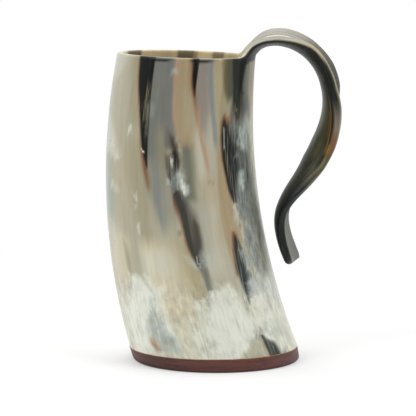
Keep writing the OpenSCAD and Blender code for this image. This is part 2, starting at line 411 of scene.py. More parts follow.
def hornTree():
    dentsPerMetre = 45
    graph, size = newTree("bentHorn", [*horn, "Guide", "Material"])
    around, along, inset = (field(graph, name) for name in ("around", "along", "inset"))
    grain = field(graph, "grain", "FLOAT_VECTOR")
    dent = graph.noise(grain, dentsPerMetre, 1) * size["Unevenness"] * (1 - inset)

    # the cup's wall
    level = along + size["Cup Height"] - size["Mouth Wall"] / 2
    rise, middle, halfW, halfD = outline(graph, size, level)
    wall = size["Foot Wall"] + (size["Mouth Wall"] - size["Foot Wall"]) * rise
    depth = inset * wall + dent
    out = (halfW - depth) * around.maths("COSINE")
    drop = out * size["Mouth Slope"].maths("TANGENT") * rise
    cup = graph.vector(middle + out, (halfD - depth) * around.maths("SINE"), level - drop)

    # the strip, bent along its guide line
    share = along / size["Strip Length"]
    guide = graph.node("GeometryNodeObjectInfo", None, {"Object": size["Guide"]}, "Geometry")
    line = graph.node("GeometryNodeMeshToCurve", None, {"Mesh": guide})

    def sampled(output, name="tilt"):
        values = {"Curves": line, "Value": field(graph, name), "Length": along}
        return graph.node("GeometryNodeSampleCurve", {"mode": "LENGTH"}, values, output)

    place, tilt, twist = sampled("Position"), sampled("Value", "tilt"), sampled("Value", "twist")
    archShare = (share / strip["fullArchShare"]).maths("MINIMUM", 1)
    archW = size["Mouth Width"] / 2 + (size["Arch Radius"] - size["Mouth Width"] / 2) * archShare
    archD = size["Mouth Depth"] / 2 + (size["Arch Radius"] - size["Mouth Depth"] / 2) * archShare
    wallShare = (share / strip["fullWallShare"]).maths("MINIMUM", 1)
    stripWall = size["Mouth Wall"] + (size["Strip Wall"] - size["Mouth Wall"]) * wallShare
    stripDepth = inset * stripWall + dent
    angle = around * size["Mouth Depth"] / 2 / archD
    arched = (archW - stripDepth) * angle.maths("COSINE") - archW + stripWall / 2
    across = (archD - stripDepth) * angle.maths("SINE")
    cosTwist, sinTwist = twist.maths("COSINE"), twist.maths("SINE")
    turnedOut = arched * cosTwist - across * sinTwist
    turnedAcross = arched * sinTwist + across * cosTwist
    offset = graph.vector(turnedOut * tilt.maths("SINE"), turnedAcross, -turnedOut * tilt.maths("COSINE"))
    handle = graph.vectorMaths("ADD", place, offset)

    onStrip = field(graph, "strip") * graph.step(along, 0, strip["joinLength"])
    bent = graph.blend(onStrip, cup, handle, "VECTOR")
    moved = graph.node("GeometryNodeSetPosition", None, {"Geometry": size["Geometry"], "Position": bent})
    endTree(graph, moved, size["Material"])
    return graph


def colour(code):
    parts = [int(code[i:i + 2], 16) / 255 for i in (0, 2, 4)]
    return tuple(p / 12.92 if p <= 0.04045 else ((p + 0.055) / 1.055) ** 2.4 for p in parts)


def newMaterial(name):
    material = bpy.data.materials.new(name)
    material.use_nodes = True
    graph = Graph(material.node_tree)
    shader = material.node_tree.nodes.new("ShaderNodeBsdfPrincipled")
    end = material.node_tree.nodes.new("ShaderNodeOutputMaterial")
    material.node_tree.links.new(shader.outputs[0], end.inputs[0])
    return material, graph, shader


# The horn's colours
palette = {
    "bone": "b1ac95", "sand": "b8ac92", "khaki": "9d9678", "tan": "a99776", "straw": "afa27d",
    "peach": "b3957c", "rust": "7e5031", "umber": "40291f", "bronze": "665c3a", "moss": "4b4b35",
    "olive": "65685a", "mauve": "938a80", "ash": "757871", "slate": "808685", "sage": "98a49d",
    "smoke": "454a49", "ink": "202a2d", "coal": "111615", "mist": "b9c0ba", "pearl": "c8cabc",
    "cream": "cfc6a8", "ivory": "d4d6c6", "milk": "e3e6d9", "night": "181b15", "honey": "dccaa2",
    "pewter": "a9a49a", "gold": "8c6a2c", "soot": "403e38",
}
# The horn's painting. Each mark has a colour, how much it covers, how soft its left edge, right edge and
# ends are in millimetres, and its outline: heights above the table in millimetres, each with the left
# and right edge there in degrees round the cup, from the front (0) to the handle (90) and on. The strip
# carries on above the mouth, at 154, to its end at 301.
# On the outer face, from the first to the last mark
outside = [
    # the cup's left side
    ("pearl", 0.5, (6, 4, 5), (160, -100, -51), (149, -100, -60), (144, -100, -68)),
    ("khaki", 0.8, (3, 1, 5), (160, -49, -40), (148, -49, -37), (138, -46, -34), (128, -44, -30)),
    ("khaki", 0.6, (3, 2, 4), (129, -45, -33), (120, -44, -31)),
    ("pearl", 0.8, (4, 4, 4), (124, -92, -70), (116, -86, -60), (108, -76, -52), (104, -66, -54)),
    ("slate", 0.4, (4, 4, 4), (108, -82, -64), (96, -82, -64)),
    ("mist", 0.4, (4, 4, 6), (134, -98, -73), (98, -98, -70), (80, -98, -74)),
    ("sand", 0.5, (3, 3, 6), (150, -40, -34), (120, -38, -31), (100, -34, -28)),
    ("sage", 0.8, (4, 4, 5), (96, -78, -66), (84, -78, -60), (74, -76, -63)),
    ("pearl", 0.6, (2, 2, 1.5), (93, -68, -61), (90, -67, -54), (87, -59, -52)),
    ("sand", 0.6, (6, 5, 8), (112, -58, -38), (90, -56, -44), (76, -56, -42)),
    ("khaki", 0.55, (4, 2, 6), (114, -46, -26), (100, -46, -24), (88, -40, -23), (72, -36, -24),
     (64, -34, -22)),
    ("pearl", 0.6, (5, 6, 6), (72, -82, -60), (58, -82, -56), (46, -84, -60)),
    ("cream", 0.7, (4, 4, 4), (66, -60, -44), (58, -72, -48), (42, -70, -48)),
    # painted shade: a thin grey-khaki line of shade on the left side
    ("khaki", 0.7, (1.2, 1, 2), (64, -53, -49.5), (54, -51.5, -47), (46, -50.5, -47.5)),
    # the foot
    ("ivory", 0.8, (5, 5, 10), (40, -310, 130), (-5, -310, 130)),
    ("cream", 0.9, (4, 3, 5), (64, -34, -16), (54, -34, -9), (44, -32, -7), (36, -22, -9)),
    ("ivory", 0.5, (3, 3, 4), (60, -36, -22), (46, -36, -22)),
    # painted shade: a thin grey-khaki line of shade along the left edge of the milky fleck
    ("khaki", 0.6, (1.2, 1, 1.6), (44, -53.5, -49.5), (38, -54.5, -50.5)),
    ("straw", 0.75, (5, 2, 5), (66, -8, 2), (50, -8, 6.5), (40, -7, 8), (33, -3, 6)),
    ("cream", 0.8, (3, 3, 4), (38, -15, -3), (28, -14, -2), (16, -17, -5), (8, -14, -8)),
    ("pearl", 0.7, (3, 3, 4), (60, -20, -10), (36, -23, -10)),
    ("cream", 0.6, (3, 4, 4), (34, -24, -14), (22, -24, -14)),
    ("milk", 0.8, (1.6, 1.8, 2.6), (47, -44, -40), (45, -47, -36), (42, -48.4, -34.6), (38, -49.5, -34.3),
     (29, -61, -40), (20, -63, -44.5), (8, -62, -48.5), (-5, -62, -51)),
    ("bone", 0.5, (1, 1, 1), (40.5, -47, -44.4), (38, -46.8, -44)),
    ("milk", 0.85, (1.8, 1, 2.6), (44, -29, -23.5), (40, -34, -22.5), (36, -34.5, -22.8), (33, -32, -23),
     (29.5, -30.5, -23.2), (25, -27.5, -22.8), (19, -25, -22.6)),
    ("mist", 0.9, (0.9, 0.9, 2), (37.5, -34.6, -33.4), (33, -37, -32), (29, -40, -30.5), (24, -42.5, -27.5),
     (19, -44, -24)),
    ("khaki", 0.3, (1, 1, 2), (32, -36, -33), (24, -40, -32)),
    ("slate", 0.3, (0.6, 0.6, 1.5), (36, -34.6, -33.6), (28, -32, -30), (22, -27.5, -25.5)),
    ("slate", 0.3, (1.2, 1.2, 1.5), (23, -41, -31), (19, -41, -30)),
    ("sage", 0.6, (2, 3, 1.6), (20, -42, -23), (15, -41, -20), (9, -37, -22)),
    ("peach", 0.9, (1.5, 1.5, 1.5), (16.5, -43, -40), (13, -44, -37), (10, -42, -35)),
    ("rust", 0.35, (1.5, 1.5, 1), (13, -42.5, -39), (9.5, -41.5, -36.5)),
    ("khaki", 0.6, (2, 1, 1.5), (18, 30, 39.5), (13, 22, 39.7), (4, 17, 40.5)),
    ("sage", 0.35, (3, 3, 3), (26, 41, 54), (16, 42, 52)),
    ("milk", 0.8, (2.4, 2, 3.4), (42.5, 21, 25), (39, 13, 29), (35, 9, 30.5), (20, 5, 34), (14, 4, 30),
     (9, 4, 22)),
    ("tan", 0.6, (0.6, 0.6, 2), (45, 22, 23.8), (34, 25.6, 27.2)),
    ("tan", 0.5, (0.6, 0.6, 2), (42, 26.4, 27.8), (30, 28.6, 30)),
    ("mauve", 0.75, (0.8, 0.8, 1.2), (39.5, 33, 35), (33.5, 34.4, 36.4)),
    ("tan", 0.5, (0.8, 0.8, 2), (34, 34.2, 36), (22, 36, 37.4)),
    ("tan", 0.45, (0.5, 0.5, 2), (44, 18, 19.2), (36, 19.6, 21)),
    ("ash", 0.5, (0.5, 0.8, 2), (41, 8.5, 10), (30, 7.5, 9.4)),
    ("slate", 0.45, (1.4, 1.6, 2), (44, 38, 46), (31, 43, 48)),
    ("slate", 0.2, (1.5, 1.5, 2), (16, 6, 16), (9, 6, 18)),
    ("mist", 0.6, (5, 5, 5), (48, 52, 82), (32, 54, 82)),
    ("ivory", 0.85, (3, 4, 4), (38, 38, 52), (30, 40, 70), (22, 44, 74)),
    ("mauve", 0.35, (2, 2, 3), (44, 52, 60), (40, 53, 59), (30, 57, 62)),
    ("smoke", 0.6, (1, 1, 1), (9, 55, 59), (4, 54, 60)),
    ("sand", 0.55, (3, 3, 6), (74, -94, -72), (24, -94, -74)),
    ("ivory", 0.45, (2, 2, 4), (60, -22, -11), (34, -28, -11)),
    ("honey", 0.4, (2, 2, 4), (50, -29, -11), (28, -28, -12)),
    ("khaki", 0.2, (2, 3, 6), (74, -96, -73), (22, -96, -73)),
    ("ivory", 0.35, (2, 2, 2), (45, 11, 20), (37, 9, 20)),
    ("mauve", 0.35, (1.5, 1, 1.5), (33, -21, -17.5), (26, -20, -17)),
    ("slate", 0.3, (2, 2, 2), (22, 30, 50), (15, 30, 50)),
    # the back, from its left to its right
    ("ash", 0.95, (2, 3, 12), (175, -136, -117), (120, -132, -115), (84, -126, -115)),
    ("tan", 0.8, (2, 3, 10), (175, -152, -136), (110, -148, -133), (80, -142, -132)),
    ("peach", 0.6, (1.5, 2, 8), (175, -161, -156), (96, -156, -151)),
    ("mauve", 0.7, (2, 3, 8), (175, -192, -178), (120, -187, -175)),
    ("smoke", 0.8, (3, 4, 6), (92, -162, -153), (74, -156, -148), (52, -151, -144)),
    ("ash", 0.9, (6, 6, 9), (128, -228, -219), (112, -239, -210), (84, -243, -200), (62, -236, -202),
     (44, -222, -209)),
    ("smoke", 0.9, (5, 5, 7), (116, -223, -217), (98, -231, -212), (84, -230, -207), (64, -219, -209)),
    ("sage", 0.7, (4, 4, 6), (124, -236, -226), (108, -244, -232), (98, -246, -238)),
    ("olive", 0.8, (5, 5, 4), (78, -250, -230), (52, -246, -226)),
    ("khaki", 0.7, (3, 4, 5), (175, -257, -230), (128, -255, -232)),
    ("rust", 0.9, (1, 1.2, 3), (175, -119, -108), (120, -116, -109), (84, -113.5, -110.5)),
    ("rust", 0.9, (1.2, 1.2, 3), (175, -174, -159), (120, -170, -160), (92, -166, -162.5)),
    ("night", 0.95, (1, 2, 4), (175, -228, -210), (146, -226, -213), (124, -222, -216)),
    # the bands in the middle
    ("ash", 0.95, (0.8, 2, 13), (175, -28, -7), (145, -28, -6.5), (130, -27, -3.5), (118, -26, -2),
     (109, -25, -8), (98, -23, -12)),
    ("khaki", 0.5, (2, 3, 6), (122, -18, -9), (92, -16, -8)),
    ("ash", 0.35, (2, 2, 5), (96, -27, -20), (84, -24, -18)),
    ("ash", 0.45, (3, 3, 6), (100, -23, -6), (86, -21, -4.5), (74, -17, -4)),
    ("slate", 0.7, (1.5, 2, 6), (104, -22, -17), (90, -20, -14), (70, -17, -12.5)),
    ("cream", 0.5, (3, 4, 6), (66, -18, -8), (52, -16, -4), (38, -18, 2)),
    ("sage", 0.45, (1.5, 2, 2), (134, -26, -21), (127, -26, -22)),
    ("tan", 1, (1, 1, 4), (175, -7.5, 6), (148, -6.5, 9), (128, -3.5, 13), (118, -1.5, 14.5), (111, 0, 13)),
    ("peach", 0.85, (0.9, 1.2, 6), (175, -9, -6), (145, -8, -4.5), (130, -5.5, -3), (116, -2, 0)),
    ("mist", 0.6, (1.2, 1.2, 1.2), (150.5, -10, -5.5), (147.5, -10, -5)),
    ("sand", 0.8, (2.5, 2, 8), (134, 10, 16), (118, 11, 20), (104, 13, 26), (92, 17, 29), (50, 20, 30)),
    ("slate", 0.25, (2.5, 3, 6), (86, 10, 18), (60, 11, 18)),
    ("pearl", 0.45, (3, 3, 5), (62, 10, 28), (48, 12, 30)),
    ("mauve", 0.95, (0.9, 2, 6), (175, 10.5, 20), (145, 10.8, 20.5), (132, 13.5, 22.5), (122, 16.5, 23),
     (117, 18.5, 23)),
    ("sand", 0.6, (3, 3, 4), (122, 11, 20), (114, 12, 25), (98, 12, 25)),
    ("pearl", 0.5, (2, 2, 4), (120, 12, 18), (98, 13, 20)),
    ("pearl", 0.3, (2, 2, 5), (128, 20, 27), (98, 20, 28)),
    ("slate", 0.85, (1.2, 1.3, 6), (175, 18, 23), (150, 18.8, 24), (138, 21.5, 26.8), (126, 25, 30.4),
     (114, 27.5, 32)),
    ("straw", 0.95, (0.9, 1, 6), (175, 23, 31.5), (150, 24.5, 32.2), (140, 28.2, 33.5), (130, 30.7, 34.2),
     (116, 32, 34)),
    ("rust", 0.5, (1, 1, 2), (156, 30.5, 33), (151, 31.3, 33)),
    ("khaki", 0.9, (0.7, 2, 4), (140, 32.5, 45), (128, 32.5, 47), (118, 32.5, 46)),
    ("moss", 0.95, (1.5, 2, 3), (175, 35, 46), (150, 34.5, 45), (142, 35, 46), (136, 38, 46)),
    ("bronze", 0.8, (1.2, 1.5, 4), (160, 32, 36), (148, 32.5, 37), (138, 34.5, 39)),
    ("mauve", 0.8, (1.5, 2, 3), (131, 42, 47), (122, 43, 52), (114, 45, 53)),
    ("tan", 0.95, (0.5, 1.5, 5), (114, 30.7, 36), (100, 29.6, 38), (90, 29, 40.5), (80, 29, 43),
     (70, 29, 44), (58, 31, 44)),
    ("pearl", 0.3, (2, 3, 5), (84, 11, 26), (62, 11, 26)),
    ("bone", 0.3, (2, 2, 4), (141, 0, 10), (118, 2, 14)),
    # the smoky right side
    ("khaki", 0.6, (3, 4, 5), (175, 57, 123), (140, 59, 85), (130, 60, 85)),
    ("olive", 0.9, (1.5, 3, 4), (156, 59, 69), (140, 58, 69), (128, 56, 69)),
    ("tan", 0.6, (2, 3, 4), (160, 68, 88), (132, 70, 86)),
    ("soot", 0.65, (3, 4, 4), (160, 70, 98), (141, 72, 98)),
    ("bronze", 0.45, (3, 4, 4), (160, 70, 98), (134, 72, 98)),
    ("khaki", 0.5, (3, 3, 5), (175, 70, 90), (132, 72, 90)),
    ("ash", 0.7, (3, 3, 3), (133, 54, 70), (126, 50, 72), (122, 52, 66)),
    ("pearl", 0.5, (4, 3, 1.2), (127, 75, 88), (120, 64, 88), (117, 68, 88)),
    ("ash", 0.9, (2, 4, 4), (120, 44, 70), (100, 43, 73), (80, 45, 77), (60, 50, 80), (47, 54, 78)),
    ("sage", 0.95, (2, 2.5, 2), (123.5, 51, 62), (116, 49.5, 65), (109, 52, 63), (106, 55, 61)),
    ("smoke", 0.75, (1.5, 2.5, 3), (140, 44, 60), (126, 42.5, 59), (116, 43, 52)),
    ("smoke", 0.5, (2, 3, 3), (135, 50, 72), (126, 52, 70)),
    ("soot", 0.95, (2, 4, 2), (113, 44, 52), (106, 42, 65), (101, 42, 66), (96, 56, 66), (88, 57, 63)),
    ("smoke", 0.8, (2, 2, 3), (100, 41, 47), (92, 42, 47), (85, 44, 50)),
    ("sage", 0.95, (1.8, 1.8, 2), (99, 51, 58.5), (94, 49, 58), (89.5, 48.5, 56.5)),
    ("olive", 0.6, (4, 4, 3.5), (86, 57, 77), (76, 56, 79), (62, 57, 81), (54, 61, 81), (49, 64, 78)),
    ("bone", 0.75, (1.6, 2, 2), (82, 40.5, 43.5), (77, 40, 47), (73, 42, 52), (68, 45, 52)),
    ("smoke", 0.4, (1.5, 2, 2), (86, 42, 48), (79, 46, 52)),
    ("bone", 0.3, (3, 3, 4), (70, 50, 62), (60, 52, 64), (50, 56, 70)),
    ("slate", 0.7, (2.5, 2.5, 3), (72, 50, 58), (60, 46, 59), (52, 46, 59)),
    ("slate", 0.6, (2, 2, 3), (88, 45, 54), (80, 47, 56), (76, 49, 56)),
    ("slate", 0.7, (2, 2, 3), (58, 42, 48), (50, 42, 48)),
    ("sage", 0.3, (3, 4, 3), (22, 42, 70), (14, 42, 70)),
    ("bone", 0.6, (2, 2, 2), (63, 45, 51), (56, 46, 52)),
    ("mist", 0.65, (2, 2, 3), (48, 43, 54), (42, 42, 56), (34, 42, 48)),
    ("slate", 0.45, (2, 2, 2), (46, 38, 47), (38, 39, 44)),
    ("milk", 0.6, (2, 2, 3), (35, 41, 51), (23, 42, 51)),
    ("cream", 0.45, (1.5, 2, 2.4), (36, 40, 48), (24, 40, 49)),
    ("pearl", 0.45, (2.5, 3, 3), (62, 71, 82), (48, 71, 82)),
    ("smoke", 0.4, (2, 2, 3), (94, 42, 49), (87, 44, 49)),
    ("pearl", 0.6, (4, 4, 8), (120, 78, 102), (90, 81, 99), (40, 83, 99)),
    # the mark in the middle
    ("smoke", 0.45, (1.3, 1.3, 2), (123, -10.5, -7), (117, -11, -5), (111, -11, -6)),
    ("olive", 0.85, (2.5, 2.5, 3), (114, 1, 9.5), (104, 0, 10.5), (96, 2, 10.5), (86, 2, 11)),
    ("umber", 0.9, (0.9, 0.9, 2), (121, -7, -5), (113, -5.6, -2.5), (106, -4.5, -1.3), (99, -2.8, -0.3)),
    ("umber", 0.7, (1, 1.2, 2), (108, -11, -8), (101, -10.6, -7.6), (95, -8.6, -6)),
    ("coal", 0.85, (1.1, 1.1, 2), (111, -7.5, -3), (107, -8, -1.2), (102, -8.6, -0.8), (97, -8.4, -1),
     (93, -7, -2)),
    ("slate", 0.5, (1, 1, 1.5), (99, -6, -3), (93, -5.5, -2), (89.5, -4.5, -1)),
    ("smoke", 0.45, (2, 2.5, 3), (90, -2, 6), (82, 0, 7)),
    ("smoke", 0.6, (2, 2.5, 4), (82, 0, 10), (74, 3, 11), (62, 5, 11)),
    ("umber", 0.75, (1.3, 1.2, 2.5), (77, 6, 8.5), (72, 6, 11.2), (65, 7, 11.5), (59, 7.5, 10.5)),
    ("smoke", 0.55, (1, 1.4, 4), (66, 2.5, 11.5), (56, 4.5, 11.5), (48, 7.4, 12.2), (40, 8.8, 12.5)),
    ("rust", 0.6, (0.9, 0.9, 0.9), (69.7, -4.5, -2), (67.3, -5, -3)),
    ("rust", 0.4, (0.9, 0.9, 0.9), (97, 21, 23), (95, 21, 23)),
    ("rust", 0.4, (0.9, 0.9, 0.9), (94, 23.5, 26), (92, 23.5, 25)),
    # amber edges of the dark streaks
    ("rust", 0.85, (1, 1.5, 2), (175, -44, -38), (150, -40.8, -36), (140, -38, -34), (130, -35, -31),
     (120, -32.6, -28), (110, -31, -26), (102, -29, -24.5), (90, -25.3, -23.8)),
    ("rust", 0.9, (1.1, 1.1, 3), (175, 2, 7), (150, 5.2, 10), (143, 7.2, 11), (138, 9.5, 12),
     (123, 14.5, 16.2)),
    ("peach", 0.95, (0.9, 1, 5), (132, 12.2, 15.4), (120, 15, 18.2), (100, 21.2, 23.7)),
    ("rust", 0.8, (0.9, 1, 2), (92, -7.2, -4), (85, -6, -3), (78, -3.8, -0.5), (63, 1, 4), (57, 3.5, 5.5)),
    ("rust", 0.9, (0.9, 1.5, 1.6), (128, 36.5, 41.5), (124, 33.7, 42), (118, 32.8, 37), (110, 33.4, 38),
     (104, 34, 38), (98, 35.2, 40), (86, 40.5, 44)),
    ("rust", 0.95, (0.8, 1, 1.4), (70, 36.4, 38.4), (66, 35.2, 41), (61, 34, 43.5), (56, 33.2, 39),
     (48, 33, 37)),
    ("rust", 0.5, (0.8, 0.8, 1), (17, 38.5, 41), (4, 39.6, 42)),
    # the black that runs up into the strip, and the strip's outer face
    ("night", 1, (0.9, 1.6, 1.5), (320, 20, 160), (170, 20, 160), (163, 40, 130), (158, 41, 118),
     (153, 42, 60.5), (147, 42.8, 59), (133, 45.5, 57), (128, 47.2, 54.5), (125.5, 49, 51.5)),
    # painted sheen: the lighter grey over the far half of the strip's outer face and over its middle stands
    # in for the reflection of the bright room at grazing angles, over the horn's own dark grey
    ("smoke", 0.7, (2, 3, 8), (320, 92, 160), (290, 92, 160), (215, 86, 160), (194, 96, 160)),
    ("ash", 0.4, (4, 4, 6), (236, 90, 130), (222, 82, 130), (206, 80, 130), (198, 86, 130)),
    ("moss", 0.3, (2, 3, 10), (262, 78, 93), (206, 76, 94)),
    ("bronze", 0.4, (0.8, 0.8, 2.5), (243, 79.6, 83), (234, 79, 83)),
    ("olive", 0.5, (3, 4, 8), (244, 96, 160), (224, 83, 160), (214, 79, 160), (192, 80, 160)),
    ("khaki", 0.5, (0.4, 0.4, 6), (228, 86, 86.8), (204, 84, 85)),
    ("moss", 0.6, (0.5, 0.5, 8), (236, 82.6, 84), (206, 80, 81.4)),
    ("bronze", 0.35, (2, 2.5, 6), (236, 78, 82), (226, 76.5, 81), (216, 76, 81)),
    ("moss", 0.6, (1, 1.5, 4), (250, 75, 79), (234, 73.5, 78)),
    ("bronze", 0.25, (1, 1, 3), (244, 81.5, 85.5), (234, 81, 85)),
    ("gold", 0.9, (0.35, 0.35, 3), (238, 73.6, 74.6), (212, 72.8, 73.6)),
    ("gold", 0.6, (0.3, 0.3, 3), (232, 75.4, 76.1), (218, 74.8, 75.4)),
    # painted shade: a thin dark line along the rim's outer corner at the front, under its pale edge
    ("coal", 0.9, (3, 2, 0.5), (155.4, -37, -11), (154, -37, -14)),
    ("coal", 0.9, (2, 3, 0.5), (155.4, 3, 26), (153.6, 6, 16)),
]
# On the inner face: the cup's bore, then the strip's hollow upper side
inside = [
    # painted light: the bore's cream is made lighter than the horn's own colour, to make up for the shade
    # inside the cup
    ("honey", 1, (5, 5, 8), (160, -310, 130), (20, -310, 130)),
    ("tan", 0.5, (5, 5, 10), (160, 190, 206), (100, 190, 210)),
    ("ash", 0.6, (3, 3, 20), (160, -28, -8), (110, -26, -8)),
    ("coal", 0.95, (1.5, 1.5, 15), (160, 226, 250), (120, 230, 244), (96, 233, 238)),
    ("coal", 0.95, (1.2, 1.2, 15), (160, 172.5, 189), (120, 176, 187), (95, 180, 184)),
    ("umber", 0.6, (1.5, 1.5, 10), (160, 169, 173), (120, 172, 176)),
    ("umber", 0.7, (1.5, 1.5, 8), (160, 142, 156), (120, 145, 152)),
    ("tan", 0.6, (3, 3, 8), (160, 126, 140), (110, 126, 142)),
    ("coal", 0.9, (2, 1.5, 15), (160, -40, -25), (90, -30, -26)),
    ("coal", 0.85, (1.5, 1.5, 15), (160, 4, 10), (120, 8, 11)),
    ("rust", 0.4, (1.5, 1.5, 20), (160, 93, 99), (60, 95, 98)),
    ("umber", 0.5, (3, 3, 30), (140, 30, 50), (40, 34, 46)),
    ("pewter", 0.95, (3, 3, 4), (192, 40, 140), (158, 40, 140)),
    ("ash", 0.6, (1, 1, 6), (186, 99.5, 102), (176, 99, 102), (158, 102, 104)),
    ("tan", 0.6, (1, 1, 6), (188, 97, 99), (178, 98, 99.5), (166, 95, 98)),
    ("mauve", 0.85, (3, 3, 5), (320, 40, 140), (188, 40, 140)),
    ("pewter", 0.7, (2, 4, 8), (208, 40, 92), (184, 40, 96)),
    ("smoke", 0.75, (3, 3, 8), (262, 82, 140), (236, 86, 140), (216, 94, 140), (200, 99, 140),
     (186, 105, 140)),
    ("smoke", 0.7, (0.5, 0.5, 5), (220, 87.6, 89), (200, 92.6, 94), (182, 98, 99.4)),
    ("smoke", 0.5, (0.4, 0.4, 5), (222, 83, 84), (192, 89, 90)),
    ("ivory", 0.8, (0.5, 0.5, 5), (208, 84, 86), (190, 87, 89), (168, 89, 91)),
    ("smoke", 0.4, (0.5, 0.5, 4), (196, 101, 102.2), (182, 102.6, 104), (164, 102, 103.4)),
    ("ivory", 0.9, (0.6, 0.6, 4), (192, 97.6, 99.4), (178, 99, 101), (162, 98.6, 100.6)),
    ("ash", 0.6, (0.5, 0.5, 4), (188, 106.6, 108), (168, 106, 107.6)),
    ("umber", 0.5, (0.4, 0.4, 4), (204, 105, 106), (186, 108.6, 109.6)),
    ("ash", 0.7, (0.4, 0.4, 5), (212, 80, 81), (192, 82, 83), (164, 84, 85)),
    ("ash", 0.6, (0.4, 0.4, 5), (186, 92, 93.2), (166, 92.6, 93.8)),
    ("pearl", 0.7, (0.4, 0.4, 5), (226, 94, 95), (196, 102, 103)),
    ("straw", 0.8, (2, 2, 4), (214, 100, 109), (198, 94, 102)),
    ("straw", 0.9, (1, 2, 8), (222, 40, 76), (197, 40, 76.5), (182, 40, 73.5)),
    ("umber", 0.6, (1.5, 3, 10), (290, 90, 94), (262, 86, 93), (235, 80, 92), (214, 82, 87)),
    ("ash", 0.9, (2, 2, 8), (320, 50, 130), (266, 50, 130)),
]
# On the cut edge and along the handle: in front of each mark is the part of the horn's thickness that
# it fills, from the outer face (0) to the inner face (1)
outer, inner, lip = (-1, 0.4), (0.6, 2), (0.3, 0.72)
cutEdge = [
    # painted highlight: the pale middle of the cut edge, round the rim and along the strip, is the sheen of
    # the sanded edge painted in
    (lip, "pearl", 0.75, (3, 3, 1), (320, -310, 130), (154.6, -310, 130)),
    ((0.07, 0.3), "coal", 1, (3, 3, 4), (320, 20, 160), (160, 20, 160)),
    ((0.15, 0.4), "bronze", 0.7, (3, 3, 4), (196, 20, 160), (171, 20, 160)),
    ((0.35, 2), "straw", 0.8, (3, 3, 6), (198, 20, 75), (182, 20, 74)),
    ((0.6, 2), "pewter", 0.8, (3, 3, 4), (178, 20, 71), (158, 20, 71)),
    ((0.07, 0.6), "coal", 1, (3, 3, 4), (214, 20, 160), (194, 20, 160)),
    ((0.07, 0.8), "coal", 1, (3, 3, 4), (320, 20, 160), (208, 20, 160)),
    ((0.38, 0.66), "bronze", 0.7, (3, 3, 4), (224, 20, 75), (208, 20, 75)),
    ((0.62, 2), "straw", 0.8, (3, 3, 5), (216, 20, 75), (194, 20, 75)),
    ((-0.2, 2), "mauve", 0.5, (3, 0.6, 5), (234, 20, 71.2), (217, 20, 70.2)),
    ((0.7, 2), "straw", 0.7, (3, 0.6, 5), (230, 20, 71), (214, 20, 71)),
    ((-0.2, 2), "tan", 0.3, (3, 0.6, 4), (240, 20, 70.4), (222, 20, 70)),
    (outer, "umber", 0.6, (0.4, 0.4, 4), (234, 70.6, 71.4), (218, 69.8, 70.6)),
    ((-0.2, 2), "rust", 0.7, (3, 0.6, 3), (240, 20, 72.2), (228, 20, 71.6)),
    (outer, "gold", 1, (0.6, 0.5, 1.4), (239, 70.4, 73), (234, 70.2, 72.6)),
    ((-0.2, 2), "bronze", 0.75, (3, 0.8, 4), (254, 20, 73.8), (238, 20, 72.2)),
    (outer, "khaki", 0.5, (0.4, 0.4, 3), (250, 71.8, 72.6), (240, 70.6, 71.6)),
    ((-0.2, 2), "moss", 0.7, (3, 0.8, 4), (258, 20, 75), (248, 20, 74.2)),
    ((-0.2, 2), "coal", 1, (3, 1, 6), (320, 20, 80), (258, 20, 75.5)),
    # painted highlight: a lighter line along the inner corner of the cut edge towards the strip's free end
    ((0.9, 1.4), "slate", 0.5, (1, 1, 6), (320, 20, 79), (272, 20, 77.2)),
]
# Dark streaks with fibrous edges on the outer face
streaks = [
    ("coal", 1, (0.8, 0.5, 2), (175, -43, -25.4), (150, -39.6, -25.2), (140, -37, -25), (130, -34, -24.8),
     (120, -31.6, -24.6), (112, -29.2, -24.4), (102, -26, -25)),
    ("coal", 1, (0.8, 0.5, 2), (175, 3.5, 11.4), (150, 6.6, 11.2), (138, 10.4, 11.4)),
    ("soot", 1, (0.8, 2.4, 1.6), (94, -6.6, -4.2), (88, -5.4, 0.5), (84, -4.2, 3.5), (65, 1.8, 8.4),
     (54, 5.2, 9.2)),
    ("ash", 0.9, (0.8, 2, 2.6), (60, 4.4, 9.4), (52, 6.8, 11), (45, 8.4, 11.4), (39, 9, 12)),
    ("coal", 1, (0.9, 2.8, 1.2), (124.5, 36.5, 41), (121, 34.6, 43), (117, 33.8, 45.5), (112, 34.2, 48.5),
     (105, 34.4, 49), (99, 35.8, 48), (93, 37.8, 46.5), (84.5, 41.4, 44.4)),
    ("ink", 0.95, (0.9, 2, 2), (66.5, 37.4, 39), (62, 36.2, 42.4), (53, 34.4, 44), (47, 35, 45.4),
     (42, 36, 44), (38, 37, 42), (34, 38.4, 41)),
    ("ink", 0.95, (0.7, 1.8, 0.6), (17.2, 39.4, 40.7), (15.5, 39.6, 46), (12.5, 40, 50.5), (4, 41, 54)),
    ("coal", 1, (0.8, 0.8, 3), (175, -117, -109.5), (120, -114.5, -110.2), (94, -113, -111.2)),
    ("coal", 1, (0.8, 1, 3), (175, -172, -160.5), (130, -169.5, -161.5), (100, -167, -163)),
]
